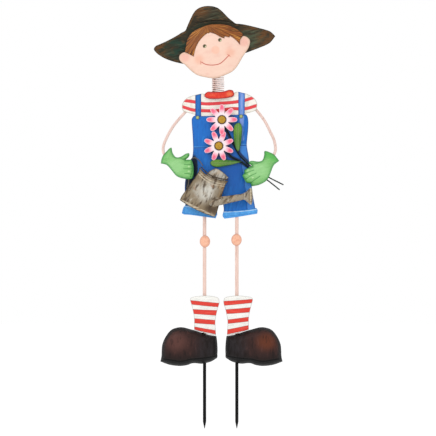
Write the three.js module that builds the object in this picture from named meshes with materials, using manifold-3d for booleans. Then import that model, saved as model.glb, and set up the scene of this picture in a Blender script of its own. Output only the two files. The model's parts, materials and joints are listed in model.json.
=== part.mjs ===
// A painted sheet-steel garden stake: a boy gardener with a watering can and two flowers.
//
// Units are millimetres, +Z is up, and the figure faces -Y, so +X is the viewer's right.
// The origin is at soil level, midway between the two legs: the boots' soles are at Z = 0,
// and the two ground stakes go down into the soil.
// The body is a stack of pressed sheets in front of two leg tubes. From the back, they are the
// shirt, the straps and the bib, and in front of the bib the flowers and the can.
// Sheets that are welded to each other or to a rod are drawn with a small gap between them.
import * as THREE from 'three';
import { mergeVertices } from 'three/addons/utils/BufferGeometryUtils.js';
import Module from 'manifold-3d';

const wasm = await Module();
wasm.setup();

// ---------------------------------------------------------------- driving dimensions

const sheet = 1; // thickness of every pressed sheet
const gap = 0.3; // between two pieces that touch
const layer = sheet + gap; // from one sheet of the stack to the next

const bodyRadius = 450; // radius that the shirt and the overalls are bowed to
const legX = 42; // leg axes, left and right of the middle
const legTubeRadius = 4.75;
const legTubeWall = 1;
const legTubeTop = 620;
const legY = legTubeRadius + gap; // the tubes' front touches the plane Y = 0
const feetShift = 2; // the boots and socks stand this far to the right of the middle

const stakeRadius = 4.25;
const stakeTop = 60;
const stakeTip = -163;
const stakeTaper = 18;
const socketRadius = 6.5;
const socketBottom = 14;
const socketTop = 76;

const armRodRadius = 3.75;
const leftGloveBack = -17;
const rightGloveBack = -10;
const gloveDepth = 13;

const stemRadius = 1.7;
const stemY = -5.5;
const leafSheet = 1.2;
const leafBack = stemY - stemRadius - gap;
const rearFlowerBack = leafBack - leafSheet - gap;
const frontFlowerBack = rearFlowerBack - layer;
const petalCount = 8;
const petalReach = 40; // from the flower's centre to a petal's tip
const petalHalfWidth = 5.6;
const flowerHubRadius = 17; // where neighbouring petals part
const flowerCentreRadius = 12;

const spring = { x: -7, y: 8.2, radius: 15, wire: 1.5, bottom: 711.9, top: 765.7, turns: 10 };
const shelf = { width: 36, front: -7, back: 24, thickness: 2 };
const neckShelfZ = 708;
const headBracketZ = spring.top + spring.wire + gap;

const head = { x: -12, z: 819, tilt: 15, dome: 14, domeX: 98, domeZ: 100 };
const hat = { x: -17, z: 853, tilt: 6.5, crown: 14, brimCurl: 8 };

const boot = { depth: 24, shoulder: 30 };
const sockBulge = 8;
const knee = { halfWidth: 13.5, halfHeight: 15.5, depth: 7 };

const can = { x: -39, z: 454, tilt: 26, back: -9, depth: 26, rimRadius: 1.4 };
const spout = { y: -22, root: 11.6, tip: 7.3, wall: 1.2, length: 91 };
const handle = { width: 6, thickness: 2.4, front: leftGloveBack + gap };

// ---------------------------------------------------------------- solids and sheets

const radians = THREE.MathUtils.degToRad;

// The closed outline of a sheet, in X and Z. Each list is one smooth stretch that starts where
// the one before it ended, so the last point of a list is a corner.
function outline(...stretches) {
  const points = [];
  stretches.forEach((stretch, index) => {
    const knots = [stretches.at(index - 1).at(-1), ...stretch].map(([x, z]) => new THREE.Vector2(x, z));
    const divisions = knots.length === 2 ? 1 : 2 * (knots.length - 1);
    points.push(...new THREE.SplineCurve(knots).getPoints(divisions).slice(1));
  });
  return points;
}

const mirrored = (points) => points.map((point) => new THREE.Vector2(-point.x, point.y)).reverse();

const shifted = (points, x, z) => points.map((point) => new THREE.Vector2(point.x + x, point.y + z));

function ellipse(halfWidth, halfHeight, x = 0, z = 0, sides = 20) {
  return new THREE.EllipseCurve(x, z, halfWidth, halfHeight).getPoints(sides).slice(0, -1);
}

function toSolid(geometry) {
  const bare = geometry.clone();
  bare.deleteAttribute('normal');
  bare.deleteAttribute('uv');
  const merged = mergeVertices(bare, 1e-3);
  const vertProperties = Float32Array.from(merged.attributes.position.array);
  const triVerts = Uint32Array.from(merged.index.array);
  return new wasm.Manifold(new wasm.Mesh({ numProp: 3, vertProperties, triVerts }));
}

function toGeometry(solid) {
  const mesh = solid.getMesh();
  const geometry = new THREE.BufferGeometry();
  geometry.setAttribute('position', new THREE.BufferAttribute(mesh.vertProperties, 3));
  geometry.setIndex(new THREE.BufferAttribute(mesh.triVerts, 1));
  geometry.computeVertexNormals();
  return geometry;
}

// A prism with the outline's section that runs along Y from the front to the back.
function prism(points, front, back) {
  const options = { depth: back - front, bevelEnabled: false, steps: 1 };
  const geometry = new THREE.ExtrudeGeometry(new THREE.Shape(points), options);
  return geometry.rotateX(Math.PI / 2).translate(0, back, 0);
}

// The space inside the outline between the surfaces y = front(x, z) and y = back(x, z).
function slab(points, front, back, cellX = 12, cellZ = 12) {
  const box = new THREE.Box2().setFromPoints(points).expandByScalar(1);
  const size = box.getSize(new THREE.Vector2());
  const middle = box.getCenter(new THREE.Vector2());
  const columns = Math.max(1, Math.round(size.x / cellX));
  const rows = Math.max(1, Math.round(size.y / cellZ));
  const blank = new THREE.BoxGeometry(size.x, 1, size.y, columns, 1, rows);
  blank.translate(middle.x, 0, middle.y);
  const place = blank.attributes.position;
  for (let i = 0; i < place.count; i += 1) {
    const surface = place.getY(i) < 0 ? front : back;
    place.setY(i, surface(place.getX(i), place.getZ(i)));
  }
  return toSolid(blank).intersect(toSolid(prism(points, -200, 200)));
}

// A pressed sheet whose rear face is y = back(x, z).
function pressed(points, back, thickness = sheet, cellX = 13, cellZ = 13) {
  return toGeometry(slab(points, (x, z) => back(x, z) - thickness, back, cellX, cellZ));
}

function depthInside(points, x, z) {
  let nearest = Infinity;
  let inside = false;
  const place = new THREE.Vector3(x, z, 0);
  const edge = new THREE.Line3();
  const foot = new THREE.Vector3();
  points.forEach((end, index) => {
    const start = points.at(index - 1);
    edge.start.set(start.x, start.y, 0);
    edge.end.set(end.x, end.y, 0);
    edge.closestPointToPoint(place, true, foot);
    nearest = Math.min(nearest, foot.distanceTo(place));
    const crosses = start.y > z !== end.y > z;
    if (crosses && x < start.x + ((z - start.y) / (end.y - start.y)) * (end.x - start.x)) inside = !inside;
  });
  return inside ? nearest : 0;
}

// A dome that rises from its outline in a round shoulder and is flat in the middle.
function domed(points, rim, depth, shoulder) {
  return (x, z) => {
    const rise = Math.min(depthInside(points, x, z) / shoulder, 1);
    return rim - depth * Math.sqrt(1 - (1 - rise) ** 2);
  };
}

// The bowed surface that the shirt, the straps and the overalls share, moved along Y.
const bowed = (offset) => (x) => (x * x) / (2 * bodyRadius) + offset;
const bibBack = -(legX * legX) / (2 * bodyRadius); // the overalls touch the leg tubes
const strapBack = bibBack + layer;
const shirtBack = strapBack + layer;
const bibFront = bibBack - sheet;

function rod(points, radius, steps, sides = 8) {
  const path = new THREE.CatmullRomCurve3(points.map(([x, y, z]) => new THREE.Vector3(x, y, z)));
  const section = new THREE.Shape(ellipse(radius, radius, 0, 0, sides));
  return new THREE.ExtrudeGeometry(section, { steps, extrudePath: path, bevelEnabled: false });
}

// A round solid on the Z axis, from a profile of [radius, z] points.
function turned(profile, sides = 20) {
  const points = profile.map(([radius, z]) => new THREE.Vector2(radius, z));
  return new THREE.LatheGeometry(points, sides).rotateX(Math.PI / 2);
}

// A shallow solid dome that stands out towards the viewer from the plane Y = 0.
function boss(radius, height, sides = 16) {
  const profile = [[0, 0], [radius, 0]];
  for (const angle of [22.5, 45, 67.5]) {
    profile.push([radius * Math.cos(radians(angle)), height * Math.sin(radians(angle))]);
  }
  profile.push([0, height]);
  return turned(profile, sides).rotateX(Math.PI / 2);
}

// A strip bent along a line in the XZ plane, as wide along Y as it says.
function bentStrip(points, thickness, front, width) {
  const line = new THREE.SplineCurve(points.map(([x, z]) => new THREE.Vector2(x, z)));
  const outer = [];
  const inner = [];
  const divisions = 2 * points.length;
  for (let i = 0; i <= divisions; i += 1) {
    const place = line.getPoint(i / divisions);
    const across = line.getTangent(i / divisions).rotateAround(new THREE.Vector2(), Math.PI / 2);
    outer.push(place.clone().addScaledVector(across, thickness / 2));
    inner.unshift(place.clone().addScaledVector(across, -thickness / 2));
  }
  return prism([...outer, ...inner], front, front + width);
}

// ---------------------------------------------------------------- scene graph

const figure = new THREE.Group();

const paint = {
  skin: { color: 0xf0d0bc, roughness: 0.45 },
  hair: { color: 0x9a5a20, roughness: 0.5 },
  hat: { color: 0x3f3a2a, roughness: 0.55 },
  red: { color: 0xd8382c, roughness: 0.4 },
  white: { color: 0xf6f2ec, roughness: 0.45 },
  blue: { color: 0x0f6cc0, roughness: 0.4 },
  paleBlue: { color: 0x3f98dc, roughness: 0.4 },
  brass: { color: 0xa8b070, roughness: 0.4 },
  green: { color: 0x8ac47c, roughness: 0.45 },
  leaf: { color: 0x4f7f2a, roughness: 0.45 },
  stem: { color: 0x14281c, roughness: 0.5 },
  petal: { color: 0xf7a8b6, roughness: 0.4 },
  gold: { color: 0xc8a02a, roughness: 0.45 },
  zinc: { color: 0xb4aa98, roughness: 0.55 },
  boot: { color: 0x3a2624, roughness: 0.3 },
  black: { color: 0x151515, roughness: 0.4 },
  springSteel: { color: 0xd8b8b0, roughness: 0.35, metalness: 0.4 },
};

function add(name, geometry, finish, parent = figure) {
  const mesh = new THREE.Mesh(geometry, new THREE.MeshStandardMaterial({ metalness: 0.1, ...finish }));
  mesh.name = name;
  parent.add(mesh);
  return mesh;
}

// ---------------------------------------------------------------- legs, boots and stakes

function legTube() {
  const inner = legTubeRadius - legTubeWall;
  const bottom = stakeTop + 1.5;
  const profile = [[inner, bottom], [legTubeRadius, bottom], [legTubeRadius, legTubeTop]];
  profile.push([inner, legTubeTop], [inner, bottom]);
  return turned(profile, 16);
}

// The sleeve behind the boot that joins the leg tube to the removable stake.
function stakeSocket() {
  const stakeBore = stakeRadius + gap;
  const tubeBore = legTubeRadius + gap;
  const step = stakeTop + 1;
  const profile = [[stakeBore, socketBottom], [socketRadius, socketBottom], [socketRadius, socketTop]];
  profile.push([tubeBore, socketTop], [tubeBore, step], [stakeBore, step], [stakeBore, socketBottom]);
  return turned(profile, 16);
}

function stake() {
  const shoulder = stakeTip + stakeTaper;
  return turned([[0, stakeTip], [0.8, stakeTip], [stakeRadius, shoulder], [stakeRadius, stakeTop], [0, stakeTop]], 16);
}

// The left boot; its toe points to -X.
const bootOutline = outline(
  [[-31, 81], [-51, 87], [-66, 92], [-94, 99], [-108, 101], [-129, 95], [-144, 78], [-154, 55], [-156, 26], [-159, 12]],
  [[-144, 6], [-129, 2], [-106, 0], [-87, 3], [-76, 7], [-64, 7], [-50, 6], [-26, 12], [-11, 22]],
  [[-10, 42], [-11, 62], [-13, 78]],
);

// The left sock, down to just above the boot's upper edge.
const sockOutline = outline(
  [[-81, 174], [-76, 179], [-48, 183], [-26, 182], [-10, 178], [-6, 172]],
  [[-11, 145], [-16, 117], [-14, 79.5]],
  [[-31, 82.5], [-51, 88.5], [-71, 95]],
  [[-71, 126], [-76, 152], [-81, 170]],
);

for (const [side, sign] of [['left', -1], ['right', 1]]) {
  const facing = (points) => shifted(sign < 0 ? points : mirrored(points), feetShift, 0);
  const bootPoints = facing(bootOutline);
  const sockPoints = facing(sockOutline);
  const sockMiddle = sign * 44 + feetShift;
  const sockBack = (x) => -sockBulge * Math.max(0, 1 - ((x - sockMiddle) / 34) ** 2);
  const kneePoints = ellipse(knee.halfWidth, knee.halfHeight, sign * 41, sign < 0 ? 324 : 328);
  const leg = new THREE.Group();
  leg.position.set(sign * legX, legY, 0);
  figure.add(leg);
  add(`${side}_leg_tube`, legTube(), paint.skin, leg);
  add(`${side}_stake_socket`, stakeSocket(), paint.black, leg);
  add(`${side}_stake`, stake(), paint.black, leg);
  add(`${side}_boot`, pressed(bootPoints, domed(bootPoints, 0, boot.depth, boot.shoulder)), paint.boot);
  add(`${side}_sock`, pressed(sockPoints, sockBack, sheet, 8, 120), paint.red);
  add(`${side}_knee`, pressed(kneePoints, domed(kneePoints, 0, knee.depth, 13), sheet, 6, 6), paint.skin);
}

// ---------------------------------------------------------------- overalls and shirt

const overallsOutline = outline(
  [[-30, 650], [8, 652], [66, 654]],
  [[70, 648], [72, 634], [71, 610], [68, 575], [72, 549], [76, 515], [81, 467], [84, 442], [89, 416], [91, 402]],
  [[55, 396], [8, 391]],
  [[7, 399], [8, 408], [5, 425], [0, 433]],
  [[-6, 425], [-9, 408], [-9, 392]],
  [[-50, 395], [-96, 401]],
  [[-92, 420], [-93, 455], [-92, 484], [-77, 533], [-72, 558], [-73, 600], [-75, 627], [-75, 643], [-70, 650]],
);

const shirtOutline = outline(
  [[-88, 697], [-80, 701], [-67, 705], [-51, 708]],
  [[-30, 705]],
  [[22, 705]],
  [[45, 713]],
  [[63, 709], [74, 705], [88, 696], [95, 681], [92, 665]],
  [[78, 660], [66, 657]],
  [[62, 640]],
  [[-62, 640]],
  [[-67, 654]],
  [[-82, 658], [-98, 663]],
  [[-101, 673], [-99, 684], [-94, 692]],
);

const leftCuffOutline = outline(
  [[-48, 411], [-10, 405]],
  [[-9, 397], [-13, 384]],
  [[-36, 387], [-64, 391], [-80, 393], [-95, 394]],
  [[-101, 397]],
  [[-100, 403], [-97, 412], [-92, 419]],
);

const rightCuffOutline = outline(
  [[22, 402], [40, 404], [71, 407], [92, 411]],
  [[96, 406], [95, 396]],
  [[71, 392], [40, 387], [10, 383]],
  [[5, 390], [7, 402]],
);

const collarOutline = outline(
  [[-33, 713], [-12, 712], [9, 714], [24, 718], [32, 716]],
  [[35, 707], [32, 701], [19, 697], [-7, 694], [-32, 695], [-43, 701]],
  [[-40, 709], [-33, 713]],
);

add('shirt', pressed(shirtOutline, bowed(shirtBack), sheet, 12, 400), paint.white);
add('overalls', pressed(overallsOutline, bowed(bibBack), sheet, 12, 400), paint.blue);
add('left_cuff', pressed(leftCuffOutline, bowed(bibBack - layer), sheet, 12, 400), paint.paleBlue);
add('right_cuff', pressed(rightCuffOutline, bowed(bibBack - layer), sheet, 12, 400), paint.paleBlue);

const leftStrap = outline([[-66, 704]], [[-66, 640]], [[-51, 640]], [[-51, 708]]);
const rightStrap = outline([[46, 713]], [[46, 640]], [[62, 640]], [[63, 709]]);
add('left_strap', pressed(leftStrap, bowed(strapBack), sheet, 8, 400), paint.blue);
add('right_strap', pressed(rightStrap, bowed(strapBack), sheet, 8, 400), paint.blue);

for (const [name, x, z] of [['left_strap_button', -60, 646], ['right_strap_button', 53, 649]]) {
  const button = add(name, boss(5, 3), paint.brass);
  button.position.set(x, bowed(bibFront - gap)(x), z);
  button.rotation.z = Math.atan(x / bodyRadius);
}

// The collar is a band that bows forward round the neck spring.
const collarBack = (x) => -1.2 - 9.5 * Math.max(0, 1 - ((x + 4) / 40) ** 2);
add('collar', pressed(collarOutline, collarBack, sheet, 6, 400), paint.red);

// ---------------------------------------------------------------- neck

// A bracket with a flat shelf for the spring and one upright flange, bent from sheet.
function springBracket(shelfZ, flangeFront, flangeEnd) {
  const { front, back, thickness, width } = shelf;
  const onShelf = flangeEnd > shelfZ ? shelfZ + thickness : shelfZ;
  const far = flangeEnd > shelfZ ? shelfZ : shelfZ + thickness;
  const flangeBack = flangeFront + thickness;
  const corners = [[front, far], [back, far], [back, onShelf], [flangeBack, onShelf], [flangeBack, flangeEnd]];
  corners.push([flangeFront, flangeEnd], [flangeFront, onShelf], [front, onShelf]);
  const section = new THREE.Shape(corners.map(([y, z]) => new THREE.Vector2(y, z)));
  const geometry = new THREE.ExtrudeGeometry(section, { depth: width, bevelEnabled: false, steps: 1 });
  const alongX = new THREE.Matrix4().set(0, 0, 1, spring.x - width / 2, 1, 0, 0, 0, 0, 1, 0, 0, 0, 0, 0, 1);
  return geometry.applyMatrix4(alongX);
}

class Helix extends THREE.Curve {
  getPoint(t, target = new THREE.Vector3()) {
    const angle = 2 * Math.PI * spring.turns * t;
    const height = THREE.MathUtils.lerp(spring.bottom, spring.top, t);
    return target.set(
      spring.x + spring.radius * Math.cos(angle),
      spring.y + spring.radius * Math.sin(angle),
      height,
    );
  }
}

const wireSection = new THREE.Shape(ellipse(spring.wire, spring.wire, 0, 0, 6));
const coil = { steps: spring.turns * 10, extrudePath: new Helix(), bevelEnabled: false };
add('neck_spring', new THREE.ExtrudeGeometry(wireSection, coil), paint.springSteel);

const shirtBehindShelf = bowed(shirtBack)(spring.x - shelf.width / 2) + gap;
add('neck_shelf', springBracket(neckShelfZ, shirtBehindShelf, 645), paint.black);
add('head_bracket', springBracket(headBracketZ, gap, 835), paint.black);

// ---------------------------------------------------------------- head

const headDome = (offset) => (x, z) => (
  offset - head.dome * Math.max(0, 1 - (x / head.domeX) ** 2 - (z / head.domeZ) ** 2)
);

const faceOutline = outline(
  [[-78, 17], [-84, 18], [-94, 14], [-98, 5], [-95, -5], [-88, -13]],
  [[-80, -27], [-66, -46], [-45, -59], [-21, -68], [6, -67], [29, -62], [46, -50], [61, -35], [72, -25]],
  [[82, -16], [89, -6], [92, 4], [87, 14], [78, 19], [72, 16]],
  [[60, 40], [0, 60], [-60, 40], [-72, 13]],
);

const hairOutline = outline(
  [[-65, 47], [-46, 63], [-25, 68], [0, 70], [28, 64], [52, 53], [73, 33], [79, 22]],
  [[68, 11], [64, -1]],
  [[58, 11], [51, 21], [44, 28]],
  [[43, 24]],
  [[31, 30]],
  [[29, 25]],
  [[19, 32], [9, 42], [-3, 50]],
  [[-7, 48]],
  [[-9, 50]],
  [[-23, 44], [-36, 35], [-48, 22], [-57, 7], [-60, 0]],
  [[-68, 8], [-79, 18]],
);

const hatOutline = outline(
  [[-154, -5], [-128, 4], [-100, 15], [-71, 29]],
  [[-66, 38], [-54, 58], [-41, 75], [-25, 83], [-6, 84], [12, 79], [24, 70], [44, 46], [60, 31]],
  [[84, 25], [122, 11], [146, 0], [158, -14]],
  [[143, -29], [121, -37], [78, -48]],
  [[0, -50]],
  [[-84, -59]],
  [[-108, -51], [-133, -39], [-152, -24], [-159, -13]],
);

// The hat is flat behind the face, its crown bulges forward and its brim curls forward.
function hatBack(x, z) {
  const crown = Math.max(0, 1 - ((x + 2) / 64) ** 2) * Math.max(0, 1 - ((z - 62) / 24) ** 2);
  const curl = (Math.max(0, Math.abs(x) - 95) / 62) ** 2;
  return -hat.crown * crown - hat.brimCurl * curl;
}

const hatGroup = new THREE.Group();
hatGroup.position.set(hat.x, 0, hat.z);
hatGroup.rotation.y = -radians(hat.tilt);
figure.add(hatGroup);
add('hat', pressed(hatOutline, hatBack, sheet, 15, 14), paint.hat, hatGroup);

const headGroup = new THREE.Group();
headGroup.position.set(head.x, 0, head.z);
headGroup.rotation.y = -radians(head.tilt);
figure.add(headGroup);
add('face', pressed(faceOutline, headDome(-layer), sheet, 16, 16), paint.skin, headGroup);
add('hair', pressed(hairOutline, headDome(-2 * layer), sheet, 16, 16), paint.hair, headGroup);

// ---------------------------------------------------------------- arms and gloves

const leftArmEnd = leftGloveBack + gap + armRodRadius;
const rightArmEnd = rightGloveBack + gap + armRodRadius;

const leftArm = [
  [-78, 12, 677], [-94, 15, 659], [-110, 14.5, 641], [-122, 11, 626], [-132, 6, 610],
  [-141, 0, 592], [-147, -5.5, 575], [-150, -10, 563], [-148, leftArmEnd, 551], [-142, leftArmEnd, 540],
];
const rightArm = [
  [78, 12, 684], [92, 14.7, 667], [103, 15, 654], [113, 13.5, 640], [122, 11, 624], [130, 8, 607],
  [138, 4, 590], [142, -0.5, 572], [142, -4, 559], [138, rightArmEnd, 549], [133, rightArmEnd, 540],
];
add('left_arm_rod', rod(leftArm, armRodRadius, 20), paint.skin);
add('right_arm_rod', rod(rightArm, armRodRadius, 20), paint.skin);

const leftGloveOutline = outline(
  [[-141, 557], [-132, 566], [-127, 567]],
  [[-125, 555], [-118, 544], [-110, 542], [-101, 545], [-89, 552], [-82, 553]],
  [[-81, 549], [-83, 543], [-91, 536]],
  [[-80, 536], [-75, 534], [-71, 522], [-70, 508], [-71, 494], [-76, 486], [-85, 485]],
  [[-101, 488], [-115, 494], [-127, 508], [-140, 522], [-155, 526]],
  [[-154, 535], [-150, 546], [-141, 557]],
);

const rightGloveOutline = outline(
  [[114, 559], [126, 556], [139, 549], [152, 533]],
  [[139, 523], [133, 511], [127, 495], [118, 481], [100, 471], [81, 467]],
  [[77, 475]],
  [[66, 477], [62, 484]],
  [[56, 495], [62, 501]],
  [[62, 509], [75, 517], [81, 521]],
  [[73, 527], [76, 532], [102, 532], [110, 538], [113, 551]],
);

for (const [name, points, back] of [
  ['left_glove', leftGloveOutline, leftGloveBack],
  ['right_glove', rightGloveOutline, rightGloveBack],
]) {
  add(name, pressed(points, domed(points, back, gloveDepth, 22), sheet, 11, 11), paint.green);
}

// ---------------------------------------------------------------- flowers

const firstFlower = [3, 640];
const secondFlower = [-5, 572];

// Eight long petals with round tips, stamped from one sheet.
function rosette(turn) {
  const points = [];
  const tipMiddle = petalReach - petalHalfWidth;
  const step = 360 / petalCount;
  for (let petal = 0; petal < petalCount; petal += 1) {
    const middle = radians(petal * step + turn);
    for (const swing of [-90, -45, 0, 45, 90]) {
      const offset = new THREE.Vector2(petalHalfWidth, 0).rotateAround(new THREE.Vector2(), radians(swing));
      offset.x += tipMiddle;
      points.push(offset.rotateAround(new THREE.Vector2(), middle));
    }
    const notch = new THREE.Vector2(flowerHubRadius, 0);
    points.push(notch.rotateAround(new THREE.Vector2(), middle + radians(step / 2)));
  }
  return points;
}

function flower(number, [x, z], back, turn) {
  const group = new THREE.Group();
  group.position.set(x, back, z);
  figure.add(group);
  add(`flower_${number}_petals`, prism(rosette(turn), -sheet, 0), paint.petal, group);
  const centre = add(`flower_${number}_centre`, boss(flowerCentreRadius, 6, 20), paint.gold, group);
  centre.position.y = -layer;
}

flower(1, firstFlower, frontFlowerBack, 0);
flower(2, secondFlower, rearFlowerBack, 22.5);

const firstStem = [firstFlower, [11, 621], [24, 598], [37, 569], [50, 546], [66, 530], [79, 519], [124, 491], [163, 471]];
const secondStem = [secondFlower, [14, 559], [29, 543], [45, 535], [61, 525], [74, 515], [120, 484], [153, 458]];
const stemPath = (points) => points.map(([x, z]) => [x, stemY, z]);
add('flower_1_stem', rod(stemPath(firstStem), stemRadius, 20, 6), paint.stem);
add('flower_2_stem', rod(stemPath(secondStem), stemRadius, 18, 6), paint.stem);

const firstLeaf = outline(
  [[50, 631], [55, 622], [55, 600], [53, 582], [49, 562], [44, 558]],
  [[38, 569], [34, 590], [33, 611], [36, 626], [44, 632]],
);
const secondLeaf = outline(
  [[-23, 534], [-10, 537], [29, 535], [55, 531]],
  [[37, 525], [9, 519], [-10, 517], [-22, 520], [-28, 527]],
);
add('flower_1_leaf', prism(firstLeaf, leafBack - leafSheet, leafBack), paint.leaf);
add('flower_2_leaf', prism(secondLeaf, leafBack - leafSheet, leafBack), paint.leaf);

// ---------------------------------------------------------------- watering can

// The can is half round. Its own group leans it towards its spout; u is across it, v is up it.
const canGroup = new THREE.Group();
canGroup.position.set(can.x, 0, can.z);
canGroup.rotation.y = radians(can.tilt);
figure.add(canGroup);

const canHalfWidth = (v) => 45.5 - 0.11 * v;
const canWall = (offset) => (u, v) => (
  can.back - can.depth * Math.sqrt(Math.max(0, 1 - (u / canHalfWidth(v)) ** 2)) + offset
);

const canOutline = outline(
  [[39, 38], [41, 20], [46, -12], [50.5, -38], [50, -50]],
  [[25, -53], [0, -54], [-25, -53], [-50, -50]],
  [[-50.5, -38], [-46, -12], [-41, 20], [-39, 38], [-41, 50]],
  [[-27, 42], [-14, 40], [0, 39], [14, 41], [27, 45], [41, 50]],
);
add('can_body', pressed(canOutline, canWall(0), sheet, 7, 30), paint.zinc, canGroup);

// The half-round floor of the can, inside its wall.
function canFloor(v, thickness) {
  const halfWidth = canHalfWidth(v) - 3;
  const arc = new THREE.EllipseCurve(0, can.back, halfWidth, can.depth - 2, Math.PI, 2 * Math.PI);
  const section = new THREE.Shape(arc.getPoints(14));
  const geometry = new THREE.ExtrudeGeometry(section, { depth: thickness, bevelEnabled: false, steps: 1 });
  return geometry.translate(0, 0, v);
}
add('can_base', canFloor(-44, sheet), paint.zinc, canGroup);

// The wire rim along the wall's upper edge.
function canRim() {
  const points = [];
  for (const u of [-38, -32, -22, -11, 0, 11, 22, 32, 38]) {
    const edge = 40 + 9 * (u / 38) ** 2 + (u > 0 ? 1 : 0);
    points.push([u, canWall(-sheet / 2)(u, edge), edge + can.rimRadius + 1.2]);
  }
  return rod(points, can.rimRadius, 18, 6);
}
add('can_rim', canRim(), paint.zinc, canGroup);

const hoodOutline = outline(
  [[-16, 46], [-10, 57], [-3, 65]],
  [[8, 66], [25, 62.5], [40, 57]],
  [[36, 54], [33, 36]],
  [[-16, 34]],
);
const hoodBack = (u) => can.back - 8 * Math.max(0, 1 - ((u - 10) / 34) ** 2);
add('can_hood', pressed(hoodOutline, hoodBack, sheet, 8, 60), paint.zinc, canGroup);

// The spout is a tapered tube, cut to sit on the can's wall.
function canSpout() {
  const { root, tip, wall, length } = spout;
  const profile = [[root - wall, 0], [root, 0], [tip, length], [tip - wall, length], [root - wall, 0]];
  const tube = turned(profile, 18);
  tube.rotateY(radians(90 - 36.6)).translate(18.2, spout.y, -26);
  const filled = slab(canOutline, canWall(-sheet - gap), () => 60, 7, 30);
  return toGeometry(toSolid(tube).subtract(filled));
}
add('can_spout', canSpout(), paint.zinc, canGroup);

// The rose is a hollow funnel with a domed face.
function canRose() {
  const outer = [[9, 0], [9, 3], [22, 16], [22, 18.5], [15, 22], [0, 23.5]];
  const inner = [[0, 22.3], [14.4, 20.8], [20.8, 17.8], [20.8, 16.6], [7.8, 3.6], [7.8, 0]];
  return turned([...inner, ...outer], 20).rotateY(radians(90));
}
const rose = add('can_rose', canRose(), paint.zinc);
rose.position.set(59.5, spout.y, 441);

const handleLine = [
  [-46, 520], [-54, 532], [-62, 539], [-70, 541], [-77, 536], [-82, 520], [-84, 500], [-83, 485], [-84, 472], [-88, 463],
];
add('can_handle', bentStrip(handleLine, handle.thickness, handle.front, handle.width), paint.zinc);

// The flat bar that carries the can: its back is welded to the overalls, its ends to the wall.
const barFront = can.back + gap;
const barBack = bibFront - gap;
const bar = new THREE.BoxGeometry(88, barBack - barFront, 12).translate(0, (barFront + barBack) / 2, 0);
add('can_bracket', bar, paint.black, canGroup);

export default figure;
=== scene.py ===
import json
import math

import bmesh
import bpy
import numpy as np
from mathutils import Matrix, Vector
from mathutils.bvhtree import BVHTree
from mathutils.geometry import delaunay_2d_cdt


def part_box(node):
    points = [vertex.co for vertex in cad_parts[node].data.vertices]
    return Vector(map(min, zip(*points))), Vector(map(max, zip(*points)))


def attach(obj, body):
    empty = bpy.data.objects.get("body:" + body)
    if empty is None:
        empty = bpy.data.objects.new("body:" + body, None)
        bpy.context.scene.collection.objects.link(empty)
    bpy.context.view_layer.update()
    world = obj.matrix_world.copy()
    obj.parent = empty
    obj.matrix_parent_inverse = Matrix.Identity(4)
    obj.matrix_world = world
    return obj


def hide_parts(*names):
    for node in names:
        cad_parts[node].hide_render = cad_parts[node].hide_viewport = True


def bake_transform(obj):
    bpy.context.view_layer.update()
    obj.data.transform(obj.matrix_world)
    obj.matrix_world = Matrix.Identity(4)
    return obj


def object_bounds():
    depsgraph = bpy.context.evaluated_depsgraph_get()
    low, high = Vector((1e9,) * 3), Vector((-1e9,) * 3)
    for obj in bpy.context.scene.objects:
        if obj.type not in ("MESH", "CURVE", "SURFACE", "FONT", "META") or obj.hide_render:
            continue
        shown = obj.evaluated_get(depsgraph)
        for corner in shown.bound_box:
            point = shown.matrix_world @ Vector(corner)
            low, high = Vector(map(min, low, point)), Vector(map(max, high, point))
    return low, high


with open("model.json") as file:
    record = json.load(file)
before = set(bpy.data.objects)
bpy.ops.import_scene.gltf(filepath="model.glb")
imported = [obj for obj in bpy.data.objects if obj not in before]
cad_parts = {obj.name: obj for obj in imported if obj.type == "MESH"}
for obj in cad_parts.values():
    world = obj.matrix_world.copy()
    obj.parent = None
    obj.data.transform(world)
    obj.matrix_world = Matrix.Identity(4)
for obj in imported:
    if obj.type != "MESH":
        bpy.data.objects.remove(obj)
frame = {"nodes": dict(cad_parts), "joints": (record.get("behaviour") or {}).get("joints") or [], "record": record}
cad_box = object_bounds()

# A painted sheet-steel garden stake: a boy gardener with a sprung head, a watering can and two flowers.
#
# Shapes are worked out in millimetres and made in metres. Every sheet takes its outline and its bow from
# the CAD node that it replaces, and gets a fine mesh, rounded edges and pressed relief. What the paint
# needs to know, such as the distance from a sheet's edge, is stored as a named value on each point.
# A sheet's own axes are u, across it, and v, up it, from the middle of its node.

MM = 0.001
SPACING = 1.6  # between the points of a sheet
SHEET = 1.0  # thickness of the sheets
RIM_ROWS = (0.12, 0.45, 1.3)  # rows of points along a sheet's edge, by their distance from it
FRONT_ROUND = 0.45  # radius of a sheet's front edge
BACK_ROUND = 0.35
SIDE_NORMAL = 0.02  # a side wall's normal has no more Y than this
SHARP = 50  # degrees between two faces at a sharp edge
CORNER = 50  # degrees that an outline turns by at a corner
STRAIGHT = 0.03  # an outline's point nearer than this to its neighbours' line is left out
SPIKE = -0.97  # cosine of the turn at the end of a spike, which is left out too
ASIDE = (0.3, 1, 0.2)  # a direction that no rod starts in
FAR_AHEAD = -500  # a Y in front of everything
BOW_ROUNDS = 60  # of smoothing, which take the CAD mesh's facets out of a sheet's bow
LINE_STEP = 1.5  # between the points of a line pressed or painted on a sheet

record = frame["record"]
body_of = {node: body for body, nodes in record["behaviour"]["bodies"].items() for node in nodes}


# ------------------------------------------------------------------ curves and distances


def even(points, spacing):
    """The same path with its points evenly spaced."""
    steps = np.linalg.norm(np.diff(points, axis=0), axis=1)
    along = np.concatenate([[0], np.cumsum(steps)])
    count = max(1, round(along[-1] / spacing))
    places = np.linspace(0, along[-1], count + 1)
    return np.stack([np.interp(places, along, column) for column in points.T], axis=1)


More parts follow.
